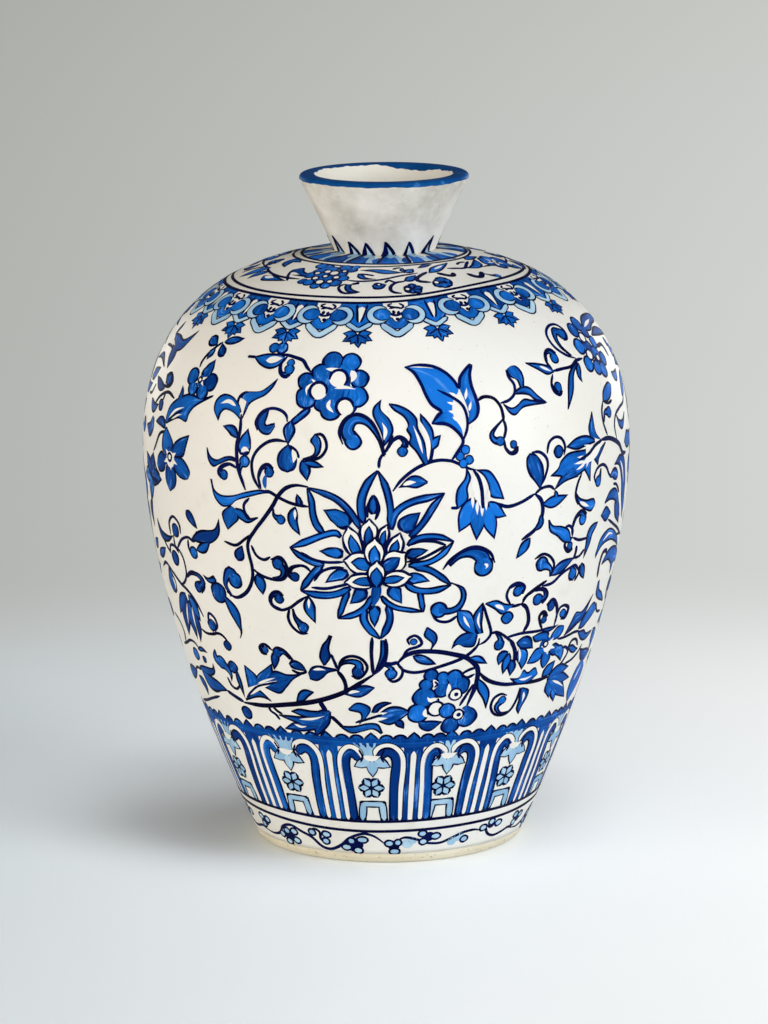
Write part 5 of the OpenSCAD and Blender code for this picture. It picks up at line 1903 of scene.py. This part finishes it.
def glazed_body():
    """Skin of tin glaze over the clay, from the foot to the neck, closed inside."""
    rows = NECK_FOOT_ARC / BODY_ROW
    outside = np.linspace(0, NECK_FOOT_ARC, round(rows))
    inside = np.linspace(NECK_FOOT_ARC, 0, round(rows / INSIDE_COARSER))
    arc = np.r_[outside, inside]
    lift = np.r_[0 * outside, 0 * inside - GLAZE_T]
    degrees = np.linspace(-180, 180, BODY_TURNS, endpoint=False)[:, None]
    return ring_mesh("glazed_body", place(degrees + 0 * arc, arc + 0 * degrees, lift))


def rounded(before, corner, after, radius):
    """An arc that replaces the corner between two straight lines."""
    before, corner, after = (np.array(p, float) for p in (before, corner, after))
    a = (before - corner) / np.linalg.norm(before - corner)
    b = (after - corner) / np.linalg.norm(after - corner)
    half = math.acos(a @ b) / 2
    centre = corner + (a + b) / np.linalg.norm(a + b) * radius / math.sin(half)
    start = corner + a * radius / math.tan(half) - centre
    end = corner + b * radius / math.tan(half) - centre
    sweep = math.pi - 2 * half
    turn = np.linspace(0, sweep, CORNER_POINTS)[:, None]
    return centre + (start * np.sin(sweep - turn) + end * np.sin(turn)) / math.sin(sweep)


def funnel(share):
    """Inside face of the neck, from the throat at 0 to the lip at 1."""
    share = np.asarray(share, float)
    shoulder_z = NECK[0, 1]
    r = THROAT_R + (LIP_R - LIP_W - THROAT_R) * share - 4 * NECK_BOW * share * (1 - share)
    return np.stack([r, shoulder_z + (VASE_H - shoulder_z) * share], -1)


def lip_path():
    """The lip's outline from low on its outer face, over the top, to low on its inner face."""
    outer = NECK[NECK_STEPS // 2:]
    inner = funnel(np.linspace(1, LIP_LOW, NECK_STEPS // 2))
    over = rounded(outer[-3], outer[-1], inner[0], LIP_ROUND)
    under = rounded(outer[-1], inner[0], inner[2], LIP_ROUND)
    low = VASE_H - 2 * LIP_ROUND
    return np.vstack([outer[outer[:, 1] < low], over, under, inner[inner[:, 1] < low]])


def neck_profile():
    """Outside of the neck, the rounded lip and the funnel inside, down to the seat in the shoulder."""
    outer = NECK[:NECK_STEPS // 2]
    inner = funnel(np.linspace(FUNNEL_TOP, 0, FUNNEL_POINTS))
    seat = [(THROAT_R, NECK_SEAT_Z), (NECK_FOOT_R, NECK_SEAT_Z)]
    return np.vstack([outer, lip_path(), inner, seat])


def rim_paint():
    """Cobalt brushed over the lip, with ragged edges inside and out."""
    path = lip_path()
    length = arc_lengths(path)
    slope = np.gradient(path, length, axis=0)
    top = length[np.argmax(path[:, 1])]
    angle = np.radians(np.linspace(0, 360, RIM_TURNS, endpoint=False))[:, None]
    rag = sum(size * np.sin(count * angle + count) for count, size in RIM_RAGS)
    start = top - RIM_OUTSIDE + RIM_OUTSIDE_RAG * rag
    end = top + RIM_INSIDE + rag + RIM_RUN * np.exp(-((angle - RIM_RUN_AT) / RIM_RUN_WIDE) ** 2)
    share = np.linspace(0, 1, RIM_ROWS)
    along = np.hstack([start + (end - start) * share, end + (start - end) * share])
    lift = np.r_[np.full(RIM_ROWS, RIM_FILM), np.full(RIM_ROWS, -RIM_FILM)]
    r = np.interp(along, length, path[:, 0]) + np.interp(along, length, slope[:, 1]) * lift
    z = np.interp(along, length, path[:, 1]) - np.interp(along, length, slope[:, 0]) * lift
    return ring_mesh("rim_paint", turned(r, z, angle))


def foot_profile():
    """Turned foot: flat standing ring, rounded outer edge and a recess that narrows towards the floor."""
    top_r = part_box("foot_ring")[1].x / MM
    inner_r = top_r - FOOT_RING_W
    edge = rounded((inner_r, 0), (top_r, 0), (top_r, FOOT_H), FOOT_ROUND)
    return np.vstack([[(inner_r, 0)], edge, [(top_r, FOOT_H), (inner_r - FOOT_DRAFT, FOOT_H)]])


def paint_everything():
    """The scroll is painted on the front and again on the back, and the bands run all the way round."""
    # Motifs on the left side of the scroll take the deeper tone as painted shade, on the front and again
    # behind
    painted_shade_motifs = (
        paint_far_left_upper, paint_star_flower, paint_left_middle, paint_dark_bud, paint_left_lower,
    )
    light_leaves = (paint_tulip_leaf, paint_drooping_leaf)
    even_motifs = (
        paint_lotus, paint_lotus_stem, paint_above_lotus, paint_long_leaf,
        paint_right_upper, paint_trident_leaf, paint_right_curls, paint_right_rosette, paint_right_edge,
        paint_left_rosette, paint_upper_left, paint_circle_vine, paint_bottom_rosette, paint_lower_centre,
        paint_leaf_trio, paint_right_lower, paint_far_right_lower, paint_side_spray, paint_shoulder_scroll,
    )
    for turn in (0, 180):
        hand_turn[0] = turn
        for load, motifs in ((DEEP_TONE, painted_shade_motifs), (WET, light_leaves), (0, even_motifs)):
            tone_shift[0] = load
            for paint_motif in motifs:
                paint_motif()
    for turn in (0, 120, 240):
        hand_turn[0] = turn
        paint_foot_vine()
    hand_turn[0] = 0
    tone_shift[0] = DEEP_TONE
    paint_petal_band()
    tone_shift[0] = 0
    paint_collar()
    paint_neck_foot()


def on_front(film):
    degrees = film[2].mean()
    return math.cos(math.radians(degrees)) > 0


glaze = tin_glaze()
white_clay = engobe()
foot_clay = bare_clay("foot_clay", *FOOT_CLAY)
wall_clay = bare_clay("wall_clay", *WALL_CLAY)
slip_clay = bare_clay("slip_clay", *SLIP_CLAY)
paints = {
    "line": paint_material("navy_line", NAVY_POOL, NAVY, NAVY_DRY, dry_from=0.66),
    "blue": paint_material("cobalt_wash", COBALT_POOL, COBALT, LIGHT_COBALT, dry_from=0.57),
    "pale": paint_material("pale_wash", PALE_POOL, PALE, WHITE, dry_from=0.64),
    "rim": paint_material("rim_cobalt", RIM_POOL, RIM_COBALT, LIGHT_COBALT, dry_from=0.56),
    "white": paint_material("white_reserve", WHITE_POOL, WHITE, LIGHT_COBALT, dry_from=0.8),
}

wear(glazed_body(), glaze, "tin_glaze", "body_glaze")
wear(lathe("neck", neck_profile(), NECK_TURNS), white_clay, "neck_clay", "neck_collar")
wear(rim_paint(), paints["rim"], "cobalt_glaze", "rim_glaze")
wear(lathe("foot", foot_profile(), NECK_TURNS), foot_clay, "bare_clay", "foot_ring")

# The painting, cut into bands by arc length, with a piece of each paint on the front and on the back
paint_everything()
PAINT_NAMES = {
    "line": "navy_lines",
    "blue": "cobalt_washes",
    "pale": "pale_washes",
    "white": "white_reserves",
}
ZONES = {
    "foot_border": (-5, 17),
    "petal_panels": (17, 64),
    "belly": (64, 244),
    "shoulder": (244, 400),
}
for zone, (low, high) in ZONES.items():
    for paint, paint_name in PAINT_NAMES.items():
        strips = [film for film in films if film[0] == paint and low <= film[3].mean() < high]
        front = [film for film in strips if on_front(film)]
        back = [film for film in strips if not on_front(film)]
        for side, kept in (("front", front), ("back", back)):
            if kept:
                piece = paint_piece(f"{zone}_{paint_name}_{side}", kept)
                wear(piece, paints[paint], "tin_glaze" if paint == "white" else "cobalt_glaze")

# Solids that stay as they are and take a better material
for node_name, material in (
    ("floor_disc", foot_clay), ("lower_wall", wall_clay), ("upper_wall", wall_clay), ("liner_glaze", glaze),
    ("base_slip_seam", slip_clay), ("belly_slip_seam", slip_clay), ("neck_slip_seam", slip_clay),
):
    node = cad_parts[node_name]
    node.data.materials.clear()
    node.data.materials.append(material)


# Stage
def soft_lamp(name, stand_at, size, power, colour):
    """A square lamp that looks at the vase, with its place and size in metres and its power in watts."""
    lamp = bpy.data.lights.new(name, "AREA")
    lamp.size = size
    lamp.energy = power
    lamp.color = colour
    stand = bpy.data.objects.new(name, lamp)
    stand.visible_camera = False
    stand.location = stand_at
    stand.rotation_euler = (Vector(VASE_MIDDLE) - Vector(stand_at)).to_track_quat("-Z", "Y").to_euler()
    bpy.context.scene.collection.objects.link(stand)


soft_lamp("key", (0.4, -0.6, 2.7), size=0.8, power=15, colour=DAYLIGHT)
soft_lamp("right", (2.1, -1.2, 0.75), size=1.0, power=28, colour=DAYLIGHT)
soft_lamp("front", (-0.4, -2.4, 0.6), size=1.6, power=21, colour=DAYLIGHT)
soft_lamp("left", (-1.9, -0.9, 0.35), size=1.0, power=17, colour=LAMPLIGHT)
soft_lamp("behind_right", (1.2, 1.9, 0.2), size=0.8, power=8, colour=DAYLIGHT)
soft_lamp("behind_left", (-1.2, 1.9, 0.2), size=0.8, power=6, colour=DAYLIGHT)

world = bpy.data.worlds.new("studio")
bpy.context.scene.world = world
world.use_nodes = True
world.node_tree.nodes["Background"].inputs["Color"].default_value = AMBIENT
world.node_tree.nodes["Background"].inputs["Strength"].default_value = AMBIENT_LEVEL

bpy.ops.mesh.primitive_grid_add(x_subdivisions=FLOOR_CUTS, y_subdivisions=FLOOR_CUTS, size=FLOOR_SIZE)
floor = bpy.context.object
floor.name = "floor"
floor.data.materials.append(table_top())

camera_data = bpy.data.cameras.new("camera")
camera_data.lens = LENS
camera_data.sensor_width = SENSOR
camera = bpy.data.objects.new("camera", camera_data)
turn = Matrix.Rotation(math.pi / 2 - CAMERA_PITCH, 4, "X") @ Matrix.Rotation(CAMERA_ROLL, 4, "Z")
camera.matrix_world = Matrix.Translation(CAMERA_AT) @ turn
bpy.context.scene.collection.objects.link(camera)
bpy.context.scene.camera = camera
bpy.context.scene.view_settings.view_transform = "Standard"
